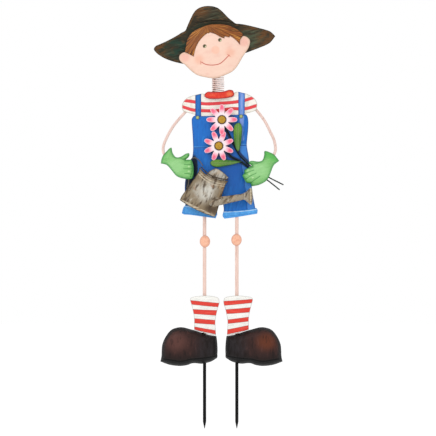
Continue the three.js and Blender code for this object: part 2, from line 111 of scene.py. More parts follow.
def curve(points, spacing=0.5, closed=False):
    """A smooth path through the points, evenly spaced."""
    points = np.asarray(points, float)
    if len(points) == 2 and not closed:
        return even(points, spacing)
    if closed:
        knots = np.vstack([points[-1:], points, points[:2]])
    else:
        knots = np.vstack([2 * points[0] - points[1], points, 2 * points[-1] - points[-2]])
    gaps = np.linalg.norm(np.diff(knots, axis=0), axis=1)[:, None]
    slopes = np.diff(knots, axis=0) / gaps
    tangents = (slopes[1:] * gaps[:-1] + slopes[:-1] * gaps[1:]) / (gaps[:-1] + gaps[1:])
    t = np.linspace(0, 1, 13)[:-1, None]
    stretches = []
    for i in range(len(tangents) - 1):
        start, end, length = knots[i + 1], knots[i + 2], gaps[i + 1]
        stretches.append(
            (2 * t**3 - 3 * t**2 + 1) * start
            + (t**3 - 2 * t**2 + t) * length * tangents[i]
            + (3 * t**2 - 2 * t**3) * end
            + (t**3 - t**2) * length * tangents[i + 1]
        )
    return even(np.vstack([*stretches, knots[-2:-1]]), spacing)


def distance(path, u, v):
    """How far each place is from the path."""
    start, step = path[:-1], np.diff(path, axis=0)
    squares = np.maximum((step**2).sum(1), 1e-12)
    nearest = []
    for place in np.array_split(np.stack([u, v], axis=1), max(1, len(u) // 1500)):
        away = place[:, None] - start
        share = np.clip((away * step).sum(2) / squares, 0, 1)
        nearest.append(np.sqrt(((away - share[..., None] * step) ** 2).sum(2).min(1)))
    return np.concatenate(nearest)


def off_line(points, u, v):
    """How far each place is from a smooth line through the points."""
    return distance(curve(points, LINE_STEP), u, v)


def off_lines(lines, u, v):
    """How far each place is from the nearest of some smooth lines."""
    return np.min([off_line(line, u, v) for line in lines], axis=0)


def off_places(places, u, v):
    """How far each place is from the nearest of some others."""
    return np.min([np.hypot(u - other_u, v - other_v) for other_u, other_v in places], axis=0)


def height_over(points, u, v):
    """How far each place is above a smooth line that runs across the sheet."""
    path = curve(points, LINE_STEP)
    return v - np.interp(u, path[:, 0], path[:, 1])


def hill(away, width):
    """A round hill, 1 high, on a line or a place, as wide at half its height as it says."""
    return np.exp(-2.77 * (away / width) ** 2)


def ridges(lines, u, v, width):
    """A round ridge, 1 high, along each of some smooth lines."""
    return sum(hill(off_line(line, u, v), width) for line in lines)


def step_up(value, low, high):
    """Smoothly from 0, where the value is low, to 1, where it is high."""
    share = np.clip((value - low) / (high - low), 0, 1)
    return share * share * (3 - 2 * share)


def spot(u, v, middle_u, middle_v, across, up=None):
    """A round hill, 1 high, as wide and as tall as it says."""
    return hill(np.hypot((u - middle_u) / across, (v - middle_v) / (up or across)), 1)


def spots(u, v, rows):
    """The highest of some round hills, from rows of height, place and width."""
    return np.max([height * spot(u, v, *row) for height, *row in rows], axis=0)


def pillow(depth, rise, shoulder):
    """How far a pressed sheet stands out at a distance from its edge."""
    return rise * (1 - (1 - np.minimum(depth / shoulder, 1)) ** 3)


class Axes:
    """A sheet's axes u and v, leaned to the left by tilt degrees, from a place shift off its middle."""

    def __init__(self, node, tilt=0.0, shift=(0.0, 0.0)):
        low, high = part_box(node)
        middle = (low + high) / 2 / MM
        self.cos, self.sin = math.cos(math.radians(tilt)), math.sin(math.radians(tilt))
        self.x = middle.x + shift[0] * self.cos - shift[1] * self.sin
        self.z = middle.z + shift[0] * self.sin + shift[1] * self.cos

    def read(self, x, z):
        x, z = x - self.x, z - self.z
        return x * self.cos + z * self.sin, z * self.cos - x * self.sin

    def place(self, u, v):
        return self.x + u * self.cos - v * self.sin, self.z + u * self.sin + v * self.cos


# ------------------------------------------------------------------ what the CAD nodes say


def welded(node):
    """The node's mesh in millimetres, with the vertices of its facets joined."""
    mesh = bmesh.new()
    mesh.from_mesh(frame["nodes"][node].data)
    bmesh.ops.scale(mesh, vec=(1 / MM,) * 3, verts=mesh.verts)
    bmesh.ops.remove_doubles(mesh, verts=mesh.verts, dist=0.002)
    mesh.normal_update()
    mesh.verts.index_update()
    return mesh


def triangulated(points, faces, gap):
    """The flat area of some faces, as points and anticlockwise triangles."""
    result = delaunay_2d_cdt([Vector(point) for point in points], [], faces, 1, gap)
    points = np.array([tuple(vert) for vert in result[0]])
    triangles = np.array(result[2])
    a, b, c = (points[triangles[:, i]] for i in range(3))
    flipped = np.cross(b - a, c - a) < 0
    triangles[flipped] = triangles[flipped][:, ::-1]
    return points, triangles


def edge_of(triangles):
    """The edges that only one triangle has, as pairs of points in that triangle's direction."""
    pairs = np.vstack([triangles[:, [0, 1]], triangles[:, [1, 2]], triangles[:, [2, 0]]])
    known = {tuple(pair) for pair in pairs.tolist()}
    return [(a, b) for a, b in sorted(known) if (b, a) not in known]


def silhouette(node):
    """The closed outline of a node seen from the front, as rows of x and z that run anticlockwise."""
    mesh = welded(node)
    flat = [(vert.co.x, vert.co.z) for vert in mesh.verts]
    faces = [[v.index for v in face.verts] for face in mesh.faces if abs(face.normal.y) > SIDE_NORMAL]
    mesh.free()
    places, triangles = triangulated(flat, faces, 0.05)
    after = {}
    for a, b in edge_of(triangles):
        after.setdefault(a, []).append(b)
    first = min(after, key=lambda i: (places[i][1], places[i][0]))
    path = [first]
    heading = np.array((1.0, 0.0))
    for _ in places:
        steps = [places[other] - places[path[-1]] for other in after[path[-1]]]
        turns = [math.atan2(np.cross(heading, step), heading @ step) for step in steps]
        best = int(np.argmin(turns))
        heading = steps[best]
        path.append(after[path[-1]][best])
        if path[-1] == first:
            break
    return cleaned([places[i] for i in path[:-1]])


def cleaned(points):
    """The closed outline without its points on straight lines and its spikes."""
    i = 0
    while i < len(points):
        before, at, behind = points[i - 1], points[i], points[(i + 1) % len(points)]
        back, ahead, across = at - before, behind - at, behind - before
        bend = abs(np.cross(back, across)) / max(np.linalg.norm(across), 0.01)
        spike = back @ ahead < SPIKE * np.linalg.norm(back) * np.linalg.norm(ahead)
        if bend < STRAIGHT or spike:
            del points[i]
            i = max(i - 1, 0)
        else:
            i += 1
    return np.array(points)


def rounded(points, corner, spacing):
    """The outline as a fine loop, smooth between its corners."""
    ahead = np.roll(points, -1, axis=0) - points
    behind = points - np.roll(points, 1, axis=0)
    turn = np.arctan2(np.cross(behind, ahead), (behind * ahead).sum(1))
    corners = np.flatnonzero(np.abs(np.degrees(turn)) > corner)
    if len(corners) == 0:
        return curve(points, spacing, closed=True)[:-1]
    points = np.roll(points, -corners[0], axis=0)
    corners = [*(corners - corners[0]), len(points)]
    points = np.vstack([points, points[:1]])
    return np.vstack([curve(points[a : b + 1], spacing)[:-1] for a, b in zip(corners, corners[1:])])


def filled(loop, spacing):
    """Points and triangles that fill a loop, and the order of the points along its edge."""
    closed = np.vstack([loop, loop[:1]])
    along = np.roll(loop, -1, axis=0) - np.roll(loop, 1, axis=0)
    inwards = np.stack([-along[:, 1], along[:, 0]], axis=1) / np.linalg.norm(along, axis=1)[:, None]
    rows = []
    # A row's points that come too near another stretch of the edge are left out.
    for row in RIM_ROWS:
        points = loop + inwards * row
        rows.append(points[distance(closed, *points.T) > 0.97 * row])
    low, high = loop.min(0), loop.max(0)
    columns = np.arange(low[0], high[0], spacing)
    levels = np.arange(low[1], high[1], spacing * math.sqrt(0.75))
    grid_u, grid_v = np.meshgrid(columns, levels)
    grid_u[::2] += spacing / 2
    grid = np.stack([grid_u.ravel(), grid_v.ravel()], axis=1)
    grid = grid[within(closed, *grid.T)]
    grid = grid[distance(closed, *grid.T) > RIM_ROWS[-1] + 0.6 * spacing]
    everything = np.vstack([loop, *rows, grid])
    return triangulated(everything, [list(range(len(loop)))], 1e-4)


def within(closed, u, v):
    """Which places lie inside a closed loop."""
    inside = np.zeros(len(u), bool)
    for (u0, v0), (u1, v1) in zip(closed[:-1], closed[1:]):
        if v0 == v1:
            continue
        crossing = (v0 > v) != (v1 > v)
        inside ^= crossing & (u < u0 + (v - v0) / (v1 - v0) * (u1 - u0))
    return inside


def bow(node, points, triangles, rim):
    """The height of the node's front face under each point, without the CAD mesh's facets."""
    mesh = welded(node)
    tree = BVHTree.FromBMesh(mesh)
    mesh.free()
    heights = np.full(len(points), np.nan)
    for i, (x, z) in enumerate(points):
        place = tree.ray_cast(Vector((x, FAR_AHEAD, z)), Vector((0, 1, 0)))[0]
        if place is not None and i not in rim:
            heights[i] = place.y
    ends = np.vstack([triangles[:, [0, 1]], triangles[:, [1, 2]], triangles[:, [2, 0]]])
    ends = np.vstack([ends, ends[:, ::-1]])
    while np.isnan(heights).any():
        known = ~np.isnan(heights[ends[:, 1]])
        total = np.bincount(ends[known, 0], heights[ends[known, 1]], len(points))
        count = np.bincount(ends[known, 0], minlength=len(points))
        blank = np.isnan(heights) & (count > 0)
        heights[blank] = total[blank] / count[blank]
    count = np.bincount(ends[:, 0], minlength=len(points))
    for _ in range(BOW_ROUNDS):
        heights = (heights + np.bincount(ends[:, 0], heights[ends[:, 1]], len(points)) / count) / 2
    return heights


# ------------------------------------------------------------------ paint


def tint(code):
    """A colour from its six hexadecimal digits, as a shader takes it."""
    parts = [int(code[i : i + 2], 16) / 255 for i in (0, 2, 4)]
    return [p / 12.92 if p <= 0.04045 else ((p + 0.055) / 1.055) ** 2.4 for p in parts] + [1.0]


class Field:
    """A number that varies over a surface. Arithmetic on it adds nodes to its coat."""

    def __init__(self, coat, socket):
        self.coat = coat
        self.socket = socket

    def math(self, operation, *others):
        node = self.coat.add("ShaderNodeMath")
        node.operation = operation
        for socket, value in zip(node.inputs, (self, *others)):
            self.coat.join(value, socket)
        return Field(self.coat, node.outputs[0])

    def __add__(self, other):
        return self.math("ADD", other)

    def __sub__(self, other):
        return self.math("SUBTRACT", other)

    def __mul__(self, other):
        return self.math("MULTIPLY", other)

    def span(self, low, high):
        """Smoothly from 0, where the field is low, to 1, where it is high."""
        node = self.coat.add("ShaderNodeMapRange")
        node.interpolation_type = "SMOOTHSTEP"
        for name, value in (("Value", self), ("From Min", low), ("From Max", high)):
            self.coat.join(value, node.inputs[name])
        return Field(self.coat, node.outputs[0])


class Coat:
    """One painted finish: a base colour, colours painted over it, and brush marks."""

    def __init__(self, name, colour, roughness=0.42, gloss=0.3):
        self.material = bpy.data.materials.new(name)
        self.material.use_nodes = True
        self.tree = self.material.node_tree
        self.shader = self.tree.nodes["Principled BSDF"]
        self.shader.inputs["Specular IOR Level"].default_value = gloss
        self.colour = tint(colour)
        self.roughness = roughness

    def add(self, kind):
        return self.tree.nodes.new(kind)

    def join(self, value, socket):
        if isinstance(value, Field):
            self.tree.links.new(value.socket, socket)
        elif isinstance(value, bpy.types.NodeSocket):
            self.tree.links.new(value, socket)
        else:
            socket.default_value = value

    def value(self, name):
        """A value that the piece stores on its points."""
        node = self.add("ShaderNodeAttribute")
        node.attribute_name = name
        return Field(self, node.outputs["Fac"])

    def noise(self, size, detail=2.0, lean=0.0, polar=False):
        """Noise with patches of size millimetres along x, y and z, leaned to the left by lean degrees.

        Polar noise runs along the stored values around, in degrees, and out, in millimetres.
        """
        mapping = self.add("ShaderNodeMapping")
        mapping.vector_type = "TEXTURE"
        if polar:
            place = self.add("ShaderNodeCombineXYZ")
            self.join(self.value("around"), place.inputs[0])
            self.join(self.value("out"), place.inputs[1])
            mapping.inputs["Scale"].default_value = size
        else:
            place = self.add("ShaderNodeTexCoord")
            mapping.inputs["Scale"].default_value = [length * MM for length in size]
            mapping.inputs["Rotation"].default_value = (0, -math.radians(lean), 0)
        self.join(place.outputs["Vector" if polar else "Object"], mapping.inputs["Vector"])
        node = self.add("ShaderNodeTexNoise")
        node.inputs["Scale"].default_value = 1
        node.inputs["Detail"].default_value = detail
        self.join(mapping.outputs[0], node.inputs["Vector"])
        return Field(self, node.outputs["Fac"])

    def over(self, colour, amount):
        """Paints a colour over what is there, where the amount is 1."""
        node = self.add("ShaderNodeMix")
        node.data_type = "RGBA"
        self.join(amount, node.inputs[0])
        self.join(self.colour, node.inputs[6])
        self.join(tint(colour), node.inputs[7])
        self.colour = node.outputs[2]
        return self

    def shade(self, colour, name, low, high, strength=1.0):
        """Paints a colour more and more as the value called name goes from low to high."""
        return self.over(colour, self.value(name).span(low, high) * strength)

    def line(self, name, width, colour, strength=1.0, ragged=0.5):
        """A brushed line where the value called name is less than half the width."""
        away = self.value(name) + self.noise((3, 3, 3)) * ragged - ragged / 2
        return self.over(colour, away.span(width / 2 + 0.5, width / 2 - 0.3) * strength)

    def finish(self, lean=0.0, strokes=(26, 26, 1.5), relief=0.10):
        """Adds brush marks and the dust and thumb marks of a figure that stands outdoors."""
        marks = self.noise(strokes, 3.0, lean)
        peel = self.noise((1.3, 1.3, 1.3), 1.0)
        bump = self.add("ShaderNodeBump")
        bump.inputs["Strength"].default_value = 0.6
        bump.inputs["Distance"].default_value = relief * MM
        self.join(marks + peel * 0.5, bump.inputs["Height"])
        self.join(bump.outputs[0], self.shader.inputs["Normal"])
        smear = self.noise((14, 14, 9), 3.0, lean) - 0.5
        self.join(marks * 0.16 + smear * 0.25 + (self.roughness - 0.08), self.shader.inputs["Roughness"])
        self.join(self.colour, self.shader.inputs["Base Color"])
        return self.material


def brushed(coat, light, dark, lean=0.0, strokes=(26, 26, 3), strength=0.5):
    """Two shades brushed into each other over the whole coat."""
    marks = coat.noise(strokes, 4.0, lean)
    coat.over(light, marks.span(0.52, 0.72) * strength)
    coat.over(dark, marks.span(0.48, 0.28) * strength)
    return coat


def edged(coat, colour, width, strength=0.9):
    """A darker band that was brushed along the sheet's edge."""
    away = coat.value("edge") + (coat.noise((5, 5, 5), 3.0) - 0.5) * (0.8 * width)
    return coat.over(colour, away.span(width, 0.15 * width) * strength)


def plain(name, colour, light, dark, lean, edge):
    """The finish of a sheet's back."""
    coat = Coat(name, colour)
    brushed(coat, light, dark, lean)
    edged(coat, edge, 3)
    return coat.finish(lean)


# ------------------------------------------------------------------ pieces


def shape(name, points, faces, coats, values=None, coat_index=None):
    """A smooth mesh in millimetres with its coats and the values on its points."""
    mesh = bpy.data.meshes.new(name)
    mesh.from_pydata((np.asarray(points) * MM).tolist(), [], [list(map(int, face)) for face in faces])
    for key, numbers in (values or {}).items():
        layer = mesh.attributes.new(key, "FLOAT", "POINT")
        layer.data.foreach_set("value", np.asarray(numbers, np.float32))
    for coat in coats:
        mesh.materials.append(coat)
    if coat_index is not None:
        mesh.polygons.foreach_set("material_index", np.asarray(coat_index, np.int32))
    mesh.shade_smooth()
    mesh.set_sharp_from_angle(angle=math.radians(SHARP))
    thing = bpy.data.objects.new(name, mesh)
    bpy.context.scene.collection.objects.link(thing)
    return thing


def piece(name, points, faces, coats, node, values=None, coat_index=None):
    """A mesh that rides on its node's body and stands for the node."""
    thing = shape(name, points, faces, coats, values, coat_index)
    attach(thing, body_of[node])
    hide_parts(node)
    return thing


def everywhere(count, **numbers):
    """Values that are the same at each of count points."""
    return {name: np.full(count, number) for name, number in numbers.items()}


def rings_joined(rows, sides):
    """The faces between rows of points that go round in rings."""
    faces = []
    for i in range(rows - 1):
        for j in range(sides):
            k = (j + 1) % sides
            faces.append((i * sides + j, i * sides + k, (i + 1) * sides + k, (i + 1) * sides + j))
    return faces


def sheet(node, coat, back, axes=None, corner=CORNER, spacing=SPACING, base=None, relief=None,
          paint=None, thickness=SHEET):
    """A pressed and painted sheet in place of a node, with coat in front and back behind.

    base, relief and paint are functions of u, v and the distance from the edge. base gives how far the
    sheet stands out from its rim, and without it the sheet has the node's own bow. relief gives what is
    pressed into it, and paint the values for its coat.
    """
    axes = axes or Axes(node)
    loop = rounded(silhouette(node), corner, spacing)
    points, triangles = filled(loop, spacing)
    edges = edge_of(triangles)
    rim = {i for pair in edges for i in pair}
    depth = distance(np.vstack([loop, loop[:1]]), *points.T)
    depth[list(rim)] = 0
    u, v = axes.read(*points.T)
    if base is None:
        front = bow(node, points, triangles, rim)
    else:
        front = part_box(node)[1].y / MM - thickness - base(u, v, depth)
    if relief is not None:
        front = front - relief(u, v, depth)
    round_front = FRONT_ROUND - np.sqrt(FRONT_ROUND**2 - np.maximum(FRONT_ROUND - depth, 0) ** 2)
    round_back = BACK_ROUND - np.sqrt(BACK_ROUND**2 - np.maximum(BACK_ROUND - depth, 0) ** 2)
    ahead = np.stack([points[:, 0], front + round_front, points[:, 1]], axis=1)
    behind = np.stack([points[:, 0], front + thickness - round_back, points[:, 1]], axis=1)
    count = len(points)
    sides = [(a, a + count, b + count, b) for a, b in edges]
    faces = [*triangles.tolist(), *sides, *(triangles[:, ::-1] + count).tolist()]
    coat_index = [0] * (len(triangles) + len(sides)) + [1] * len(triangles)
    values = {"edge": depth}
    if paint is not None:
        values.update(paint(u, v, depth))
    values = {key: np.concatenate([numbers, numbers]) for key, numbers in values.items()}
    return piece(node + "_sheet", np.vstack([ahead, behind]), faces, (coat, back), node, values, coat_index)


def rings_of(node):
    """The centres of the rings of a rod's mesh, from one end to the other."""
    mesh = welded(node)
    sides = {vert: {edge.other_vert(vert) for edge in vert.link_edges} for vert in mesh.verts}
    flat = {}
    for face in mesh.faces:
        key = tuple(round(number, 3) for number in (*face.normal, face.normal.dot(face.verts[0].co)))
        flat.setdefault(key, set()).update(face.verts)
    ends = max(len(verts) for verts in flat.values())
    caps = [verts for verts in flat.values() if len(verts) == ends]
    ring = min(caps, key=lambda verts: (max(v.co.z for v in verts), max(v.co.x for v in verts)))
    seen = set(ring)
    centres = []
    while ring:
        centres.append(sum((vert.co for vert in ring), Vector()) / len(ring))
        ring = {other for vert in ring for other in sides[vert]} - seen
        seen |= ring
    mesh.free()
    return np.array([tuple(centre) for centre in centres])


def tube(path, radius, sides=20, rounding=0.4):
    """Points and faces of a rod along a path, its ends rounded, and how far along it each point is.

    radius is a number or a function of the distance along the path and the angle round it.
    """
    along = np.concatenate([[0], np.cumsum(np.linalg.norm(np.diff(path, axis=0), axis=1))])
    tangents = np.gradient(path, along, axis=0)
    tangents /= np.linalg.norm(tangents, axis=1)[:, None]
    normal = np.cross(tangents[0], ASIDE)
    angles = np.linspace(0, 2 * math.pi, sides, endpoint=False)
    points, distances = [], []
    for i, (centre, tangent) in enumerate(zip(path, tangents)):
        normal = normal - tangent * (normal @ tangent)
        normal /= np.linalg.norm(normal)
        other = np.cross(tangent, normal)
        size = radius(along[i], angles) if callable(radius) else radius
        if i in (0, len(path) - 1):
            size = size - rounding
        ring = np.cos(angles)[:, None] * normal + np.sin(angles)[:, None] * other
        points.append(centre + ring * np.reshape(size, (-1, 1)))
        distances += [along[i]] * sides
    faces = rings_joined(len(path), sides)
    faces.append(range(sides - 1, -1, -1))
    faces.append(range((len(path) - 1) * sides, len(path) * sides))
    return np.vstack(points), faces, distances


def rod(node, coat, radius, spacing=1.5, sides=20):
    """A round rod along the middle of a node, with one more ring near each rounded end."""
    path = curve(rings_of(node), spacing)
    ends = np.vstack([path[:1] * 0.75 + path[1:2] * 0.25, path[-1:] * 0.75 + path[-2:-1] * 0.25])
    path = np.vstack([path[:1], ends[:1], path[1:-1], ends[1:], path[-1:]])
    points, faces, along = tube(path, radius, sides)
    piece(node + "_rod", points, faces, (coat,), node, {"along": along})


def turned(profile, sides=48):
    """Points and faces of a round body about Z, from rows of radius and height, closed at radius 0."""
    angles = np.linspace(0, 2 * math.pi, sides, endpoint=False)
    points, rows = [], []
    for radius, height in profile:
        if radius < 1e-6:
            rows.append([len(points)] * sides)
            points.append((0, 0, height))
        else:
            rows.append(list(range(len(points), len(points) + sides)))
            points += [(radius * math.cos(a), radius * math.sin(a), height) for a in angles]
    faces = []
    for low, high in zip(rows, rows[1:]):
        for j in range(sides):
            k = (j + 1) % sides
            face = list(dict.fromkeys([low[j], low[k], high[k], high[j]]))
            if len(face) > 2:
                faces.append(face)
    return np.array(points, float), faces


def rounded_profile(corners, radius):
    """The profile with a small arc at each corner between its ends."""
    out = [corners[0]]
    for before, at, after in zip(corners, corners[1:], corners[2:]):
        before, at, after = (np.array(p, float) for p in (before, at, after))
        cut = min(radius, np.linalg.norm(before - at) / 2.2, np.linalg.norm(after - at) / 2.2)
        start = at + (before - at) / np.linalg.norm(before - at) * cut
        end = at + (after - at) / np.linalg.norm(after - at) * cut
        for t in (0, 0.33, 0.67, 1):
            out.append(tuple((1 - t) ** 2 * start + 2 * t * (1 - t) * at + t * t * end))
    out.append(corners[-1])
    return out


# ------------------------------------------------------------------ head

HEAD_TILT = 15
HAT_TILT = 6.5
EYES = ((-20.4, 23.4), (22.0, 28.7))
EYE = 4.9
NOSE = (4.2, 6.6)
EARS = ((-77, 10.5), (81.4, 8.4))
CHEEKS = ((-43.8, -6.4), (39.2, -9.4))
MOUTH = ((-38.8, -14.4), (-31.8, -21.4), (-19.8, -27.4), (-6.8, -30.4), (6.2, -30.4), (18.2, -25.4),
         (28.2, -19.4), (35.2, -15.4))
DIMPLES = (((-41, -10.7), (-42, -19)), ((31, -12), (37, -20)))
PARTING = (0, 75)  # where the hair's strands start from
HAT_PATCHES = {
    "green": ((1, -100, -22, 74, 52), (0.7, -20, 18, 90, 30)),
    "grey": ((1, 90, -18, 62, 44), (0.4, 10, 50, 70, 26)),
    "rust": ((1, -30, 68, 46, 34), (1, -146, -20, 36, 30), (1, 132, -20, 50, 44), (0.8, 100, 6, 60, 12)),
}
HAT_BAND = ((-60, 25), (-45, 33), (-23, 37), (-3, 37), (31, 33), (46, 28), (60, 19))

head_axes = Axes("face", HEAD_TILT)
hat_axes = Axes("hat", HAT_TILT)


def face_coat():
    coat = Coat("skin_enamel", "ecc9b7", 0.40, 0.25)
    brushed(coat, "f1d3c0", "e6b9a8", HEAD_TILT, (30, 30, 16), 0.6)
    coat.shade("e8a98f", "cheek", 0.15, 1.0, 0.6)
    coat.shade("eeaf92", "nose", 2, -2, 0.45)
    coat.shade("e6a99a", "ear", 0.1, 0.8, 0.6)
    edged(coat, "d8b69f", 7, 0.75)
    edged(coat, "a08674", 1.5, 0.75)
    coat.line("mouth", 2.1, "bf5c4e", 0.95, 0.6)
    coat.line("dimple", 1.7, "cc7a68", 0.8, 0.6)
    coat.shade("5a5238", "eye", 0.35, -0.35)
    coat.shade("3c3624", "eye", -2.2, -3.2, 0.8)
    coat.shade("dcdcb4", "glint", 0.35, -0.35, 0.85)
    return coat.finish(HEAD_TILT, (26, 26, 5))


def face_relief(u, v, depth):
    eyes = 0.2 * sum(spot(u, v, *eye, 7) for eye in EYES)
    ears = 0.7 * sum(spot(u, v, *ear, 13) for ear in EARS)
    smile = 0.35 * hill(off_line(MOUTH, u, v), 2.4)
    rim = 0.5 * (1 - np.minimum(depth / 3, 1)) ** 2
    return eyes + 0.9 * spot(u, v, *NOSE, 19) - smile - ears - rim


def face_paint(u, v, depth):
    # A glint is a crescent: within one circle and outside another, whose middles are off the eye's.
    bright = off_places(EYES, u - 0.9, v + 1.0) - 3.1
    dark = 2.7 - off_places(EYES, u + 0.5, v - 0.6)
    return {
        "eye": off_places(EYES, u, v) - EYE,
        "glint": np.maximum(np.maximum(bright, dark), -8),
        "nose": off_places([NOSE], u, v) - 10.5,
        "mouth": off_line(MOUTH, u, v),
        "dimple": off_lines(DIMPLES, u, v),
        "cheek": spots(u, v, [(1, *cheek, 26) for cheek in CHEEKS]),
        "ear": spots(u, v, [(1, *ear, 22) for ear in EARS]),
    }


def hair_coat():
    coat = Coat("hair_enamel", "8e5120", 0.42, 0.25)
    coat.over("6e3a10", coat.noise((9, 40, 1), 2.0, polar=True).span(0.55, 0.35) * 0.7)
    coat.over("cc8c3c", coat.noise((2.2, 60, 1), 3.0, polar=True).span(0.54, 0.64) * 0.85)
    coat.over("3c1a06", coat.noise((1.9, 50, 2), 3.0, polar=True).span(0.48, 0.38) * 0.95)
    edged(coat, "3a1c08", 1.8, 0.8)
    return coat.finish(HEAD_TILT, (6, 6, 6), 0.06)


def strands(u, v):
    """The angle about the parting, in degrees, and the distance from it."""
    out = np.hypot(u - PARTING[0], v - PARTING[1])
    around = np.degrees(np.arctan2(u - PARTING[0], PARTING[1] - v))
    return around, out


def hair_relief(u, v, depth):
    around, out = strands(u, v)
    lock = np.sin(around * 0.55 + 0.02 * out) * 0.25 + np.sin(around * 1.27 + 1.3) * 0.16
    return lock * step_up(depth, 0.3, 3) * step_up(out, 8, 25) + 0.3 * step_up(depth, 0, 3)


def hair_paint(u, v, depth):
    around, out = strands(u, v)
    return {"around": around, "out": out}


def hat_coat():
    coat = Coat("hat_enamel", "332d20", 0.5, 0.15)
    mottle = coat.noise((30, 30, 12), 4.0, 14).span(0.35, 0.6)
    coat.over("1c3a2e", coat.value("green").span(0.1, 0.9) * mottle * 0.9)
    coat.over("4f5c46", coat.value("grey").span(0.1, 0.9) * mottle * 0.85)
    flakes = coat.noise((22, 22, 8), 4.0, 20).span(0.34, 0.55)
    coat.over("64401f", coat.value("rust").span(0.1, 1.1) * flakes * 0.9)
    marks = coat.noise((40, 40, 4), 4.0, 14)
    coat.over("6d6a54", marks.span(0.55, 0.76) * 0.55)
    coat.over("17130c", marks.span(0.48, 0.28) * 0.8)
    coat.over("74502a", coat.noise((20, 20, 4), 4.0, -12).span(0.56, 0.76) * 0.55)
    coat.over("6a4a2a", coat.value("edge").span(7, 3) * coat.noise((18, 18, 18), 3.0).span(0.4, 0.6) * 0.7)
    edged(coat, "100d08", 3, 0.9)
    coat.line("band", 1.6, "100e09", 0.85, 1.0)
    return coat.finish(HAT_TILT, (30, 30, 1.6), 0.14)


def hat_relief(u, v, depth):
    over_band = height_over(HAT_BAND, u, v)
    middle = step_up(66 - np.abs(u), 0, 8)
    crown = 0.7 * step_up(over_band, -0.5, 2.5) * middle
    crease = 1.2 * hill(over_band, 2.2) * middle
    dent = 1.6 * spot(u, v, -4, 68, 34, 20)
    folds = 0.5 * np.sin(u / 9.0 + v / 16) * step_up(np.abs(u), 60, 95)
    lip = 1.3 * hill(depth - 2.2, 3.2) * step_up(np.abs(u), 50, 80)
    return crown - crease - dent + (folds + lip) * step_up(depth, 0, 3)


def hat_paint(u, v, depth):
    band = np.abs(height_over(HAT_BAND, u, v)) + 40 * step_up(np.abs(u - 12), 44, 60)
    return {"band": band, **{name: spots(u, v, rows) for name, rows in HAT_PATCHES.items()}}


def make_head():
    skin_back = plain("skin_back", "e6c6b4", "ecd0c0", "dab4a2", HEAD_TILT, "a88878")
    sheet("face", face_coat(), skin_back, head_axes, spacing=1.4, relief=face_relief, paint=face_paint)
    hair_back = plain("hair_back", "6e3f18", "824e22", "54300f", HEAD_TILT, "33190a")
    sheet("hair", hair_coat(), hair_back, head_axes, spacing=1.2, relief=hair_relief, paint=hair_paint)
    hat_back = plain("hat_back", "2c2a20", "3c392a", "1c1a12", HAT_TILT, "14120c")
    sheet("hat", hat_coat(), hat_back, hat_axes, relief=hat_relief, paint=hat_paint)


# ------------------------------------------------------------------ shirt, collar and overalls

STRIPE = 7.8
SHIRT_STRIPES = (
    ((-93, 14.5), (-69, 11), (-46, 6), (0, 6.5), (45, 10.5), (66, 14.5), (92, 23)),
    ((-99, -1), (-69, -10.5), (-46, -12.5), (-4, -12.5), (32, -7.5), (66, -7.5), (97, 1)),
)
SLEEVE_CREASES = (((-78, 28), (-74, 8), (-70, -16)), ((76, 30), (72, 8), (68, -16)))
WAIST = ((-72, 45.5), (-38.5, 46.5), (0, 49), (55.5, 52.5), (72, 52.5))
FLY = ((-1, 48), (1, 20), (6, -40), (7, -92))
SIDE_PANEL = ((50, 132), (52, 90), (51, 52), (57, 0), (66, -60), (72, -122))
POCKETS = (
    ((-70, 32), (-56, 26), (-50, 14), (-49, 2)),
    ((70, 38), (56, 32), (48, 20), (46, 6)),
)
# The panel's edge again, as places below the sheet's middle and the u there, for the paint beside it.
PANEL_EDGE = ((-130, -52, 0, 60, 122), (50, 51, 57, 66, 72))
STEM_SHADOWS = (
    ((12, 108), (24, 76), (40, 48), (54, 26), (72, 8)),
    ((8, 44), (28, 22), (52, 10), (74, -4)),
)
# Painted black shadows beside the left glove and the can's handle, as strength, place, width and height.
BLACK_SHADOWS = ((1, -82, -48, 27, 40), (1, -70, 13, 14, 20), (1, -66, -6, 14, 48), (1, -88, -84, 10, 40))
COLLAR_SHINE = ((1, 27, 1, 18, 12), (0.6, -22, -2, 24, 8))
LEFT_CUFF = (((-42, 15), (6, 6.5), (45, 0)), ((-45, -3), (6, -9), (42, -14)))  # its fold and its crease
RIGHT_CUFF = (((-45, 3.2), (-10.5, 4.2), (20.5, 7), (43, 10)), ((-44, -8), (0, -4), (44, 3)))
BUTTON = ((0, 0), (4.4, 0), (4.9, 0.5), (4.95, 1.1), (4.6, 1.7), (4.0, 1.9), (3.5, 1.6), (3.2, 1.35),
          (2.6, 1.75), (1.6, 2.4), (0.8, 2.65), (0, 2.7))  # its profile, as radius and height
BIB_BEND = 0.45  # radius in metres of the bib's bow, which the buttons lean with
LEG_CREASES = (((-48, 20), (-52, -40), (-54, -118)), ((40, 20), (44, -40), (47, -120)))


def shirt_coat():
    coat = Coat("shirt_enamel", "efe9e0", 0.42, 0.25)
    brushed(coat, "f8f4ee", "d6cfc4", 0, (26, 26, 5), 0.7)
    coat.over("cdd2c2", coat.noise((26, 26, 9), 3.0, 8).span(0.52, 0.72) * 0.6)
    # Painted shade along the sleeves' creases.
    coat.shade("d2ccbe", "fold", 0.2, 1.0, 0.6)
    coat.line("stripe", STRIPE + 0.9, "b0303a", 0.85, 0.9)
    coat.line("stripe", STRIPE - 0.9, "dc4046", 1.0, 1.2)
    worn = coat.noise((20, 20, 3), 3.0).span(0.55, 0.75)
    coat.over("ee6a58", worn * coat.value("stripe").span(3, 2) * 0.5)
    edged(coat, "c2bcae", 3, 0.8)
    edged(coat, "8f8a7e", 1, 0.7)
    return coat.finish(0, (26, 26, 2))


